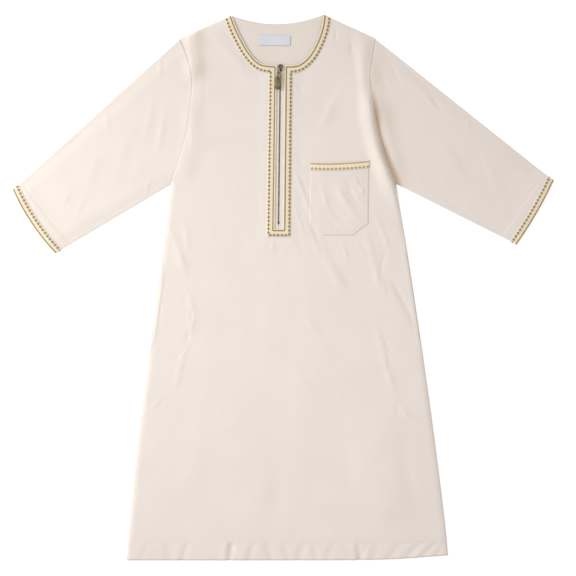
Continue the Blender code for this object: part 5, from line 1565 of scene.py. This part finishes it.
def build_robe():
    """Make every piece of the robe, attach each to its body and hide the solids it stands for."""
    front, front_area = front_cloth()
    belongs(front, "cloth", "front_panel")
    back, back_area = back_cloth()
    belongs(back, "cloth", "back_panel")
    hem_front, hem_back = hem_stitches()
    ground, embroidery = neck_braid()
    belongs(ground, "gold_braid", "neck_braid")
    pocket, pocket_sewing, pocket_area = pocket_cloth()
    belongs(pocket, "cloth", "chest_pocket")
    pocket_ground, pocket_gold = pocket_braid()
    belongs(pocket_ground, "gold_braid", "pocket_braid")
    mouths = [mouth_stitches(name) for name in SIGNS]
    for piece in (hem_front, hem_back, *mouths, pocket_sewing):
        belongs(piece, "cloth")
    for piece in (*embroidery, *pocket_gold):
        belongs(piece, "gold_braid")

    for name in SIGNS:
        sleeve, area = sleeve_cloth(name)
        belongs(sleeve, "cloth", f"sleeve_{name}")
        ground, (gold, cream, sewn) = cuff_braid(name)
        belongs(ground, "gold_braid", f"cuff_braid_{name}")
        belongs(gold, "gold_braid")
        belongs(cream, "gold_braid")
        belongs(sewn, "cloth")
        bag, area = side_bag(name)
        belongs(bag, "pocket_lining", f"side_bag_{name}")
        tape = zip_tape(name)
        belongs(tape, "zip_tape", f"zip_tape_{name}")

    label, sewn = neck_label()
    belongs(label, "label", "neck_label")
    belongs(sewn, "label")
    belongs(zip_teeth(), "zip_teeth", "zip_chain")
    belongs(zip_stop(), "antique_brass", "zip_bottom_stop")
    belongs(slider_body(), "antique_brass", "zip_slider")
    belongs(slider_bail(), "antique_brass")
    # painted shade of a hole on the slider's deck
    belongs(slider_hole_shade(), "antique_brass")
    belongs(pull_tab(), "antique_brass", "zip_pull", body="pull_tab")
    belongs(pull_knurl(), "antique_brass", body="pull_tab")


# ---- studio --------------------------------------------------------------------------------------
def studio():
    """Pale floor, plain sky, one soft light from the upper left, and the camera straight above."""
    bm = bmesh.new()
    bmesh.ops.create_grid(bm, x_segments=FLOOR["cells"], y_segments=FLOOR["cells"], size=FLOOR["half"])
    bmesh.ops.translate(bm, verts=bm.verts[:], vec=(0.0, 0.0, FLOOR["z"]))
    from_bmesh("studio_floor", bm, floor_finish())

    world = bpy.data.worlds.new("studio_sky")
    world.use_nodes = True
    sky = world.node_tree.nodes["Background"]
    sky.inputs["Color"].default_value = (1.0, 1.0, 1.0, 1.0)
    sky.inputs["Strength"].default_value = SKY
    bpy.context.scene.world = world
    bpy.context.scene.view_settings.view_transform = "Standard"

    lamp = bpy.data.lights.new("key_light", "AREA")
    lamp.energy = KEY["watts"]
    lamp.size = KEY["size"]
    lamp.spread = math.radians(KEY["spread"])
    key = bpy.data.objects.new("key_light", lamp)
    key.location = KEY["place"]
    key.rotation_euler = (Vector(KEY["aim"]) - Vector(KEY["place"])).to_track_quat("-Z", "Y").to_euler()
    bpy.context.scene.collection.objects.link(key)

    lens = bpy.data.cameras.new("camera")
    lens.sensor_width = SENSOR
    lens.lens = SENSOR * CAMERA_HEIGHT / VIEW_WIDTH
    camera = bpy.data.objects.new("camera", lens)
    camera.location = Vector((*VIEW_CENTRE, CAMERA_HEIGHT)) * MM
    bpy.context.scene.collection.objects.link(camera)
    bpy.context.scene.camera = camera


studio()
build_robe()
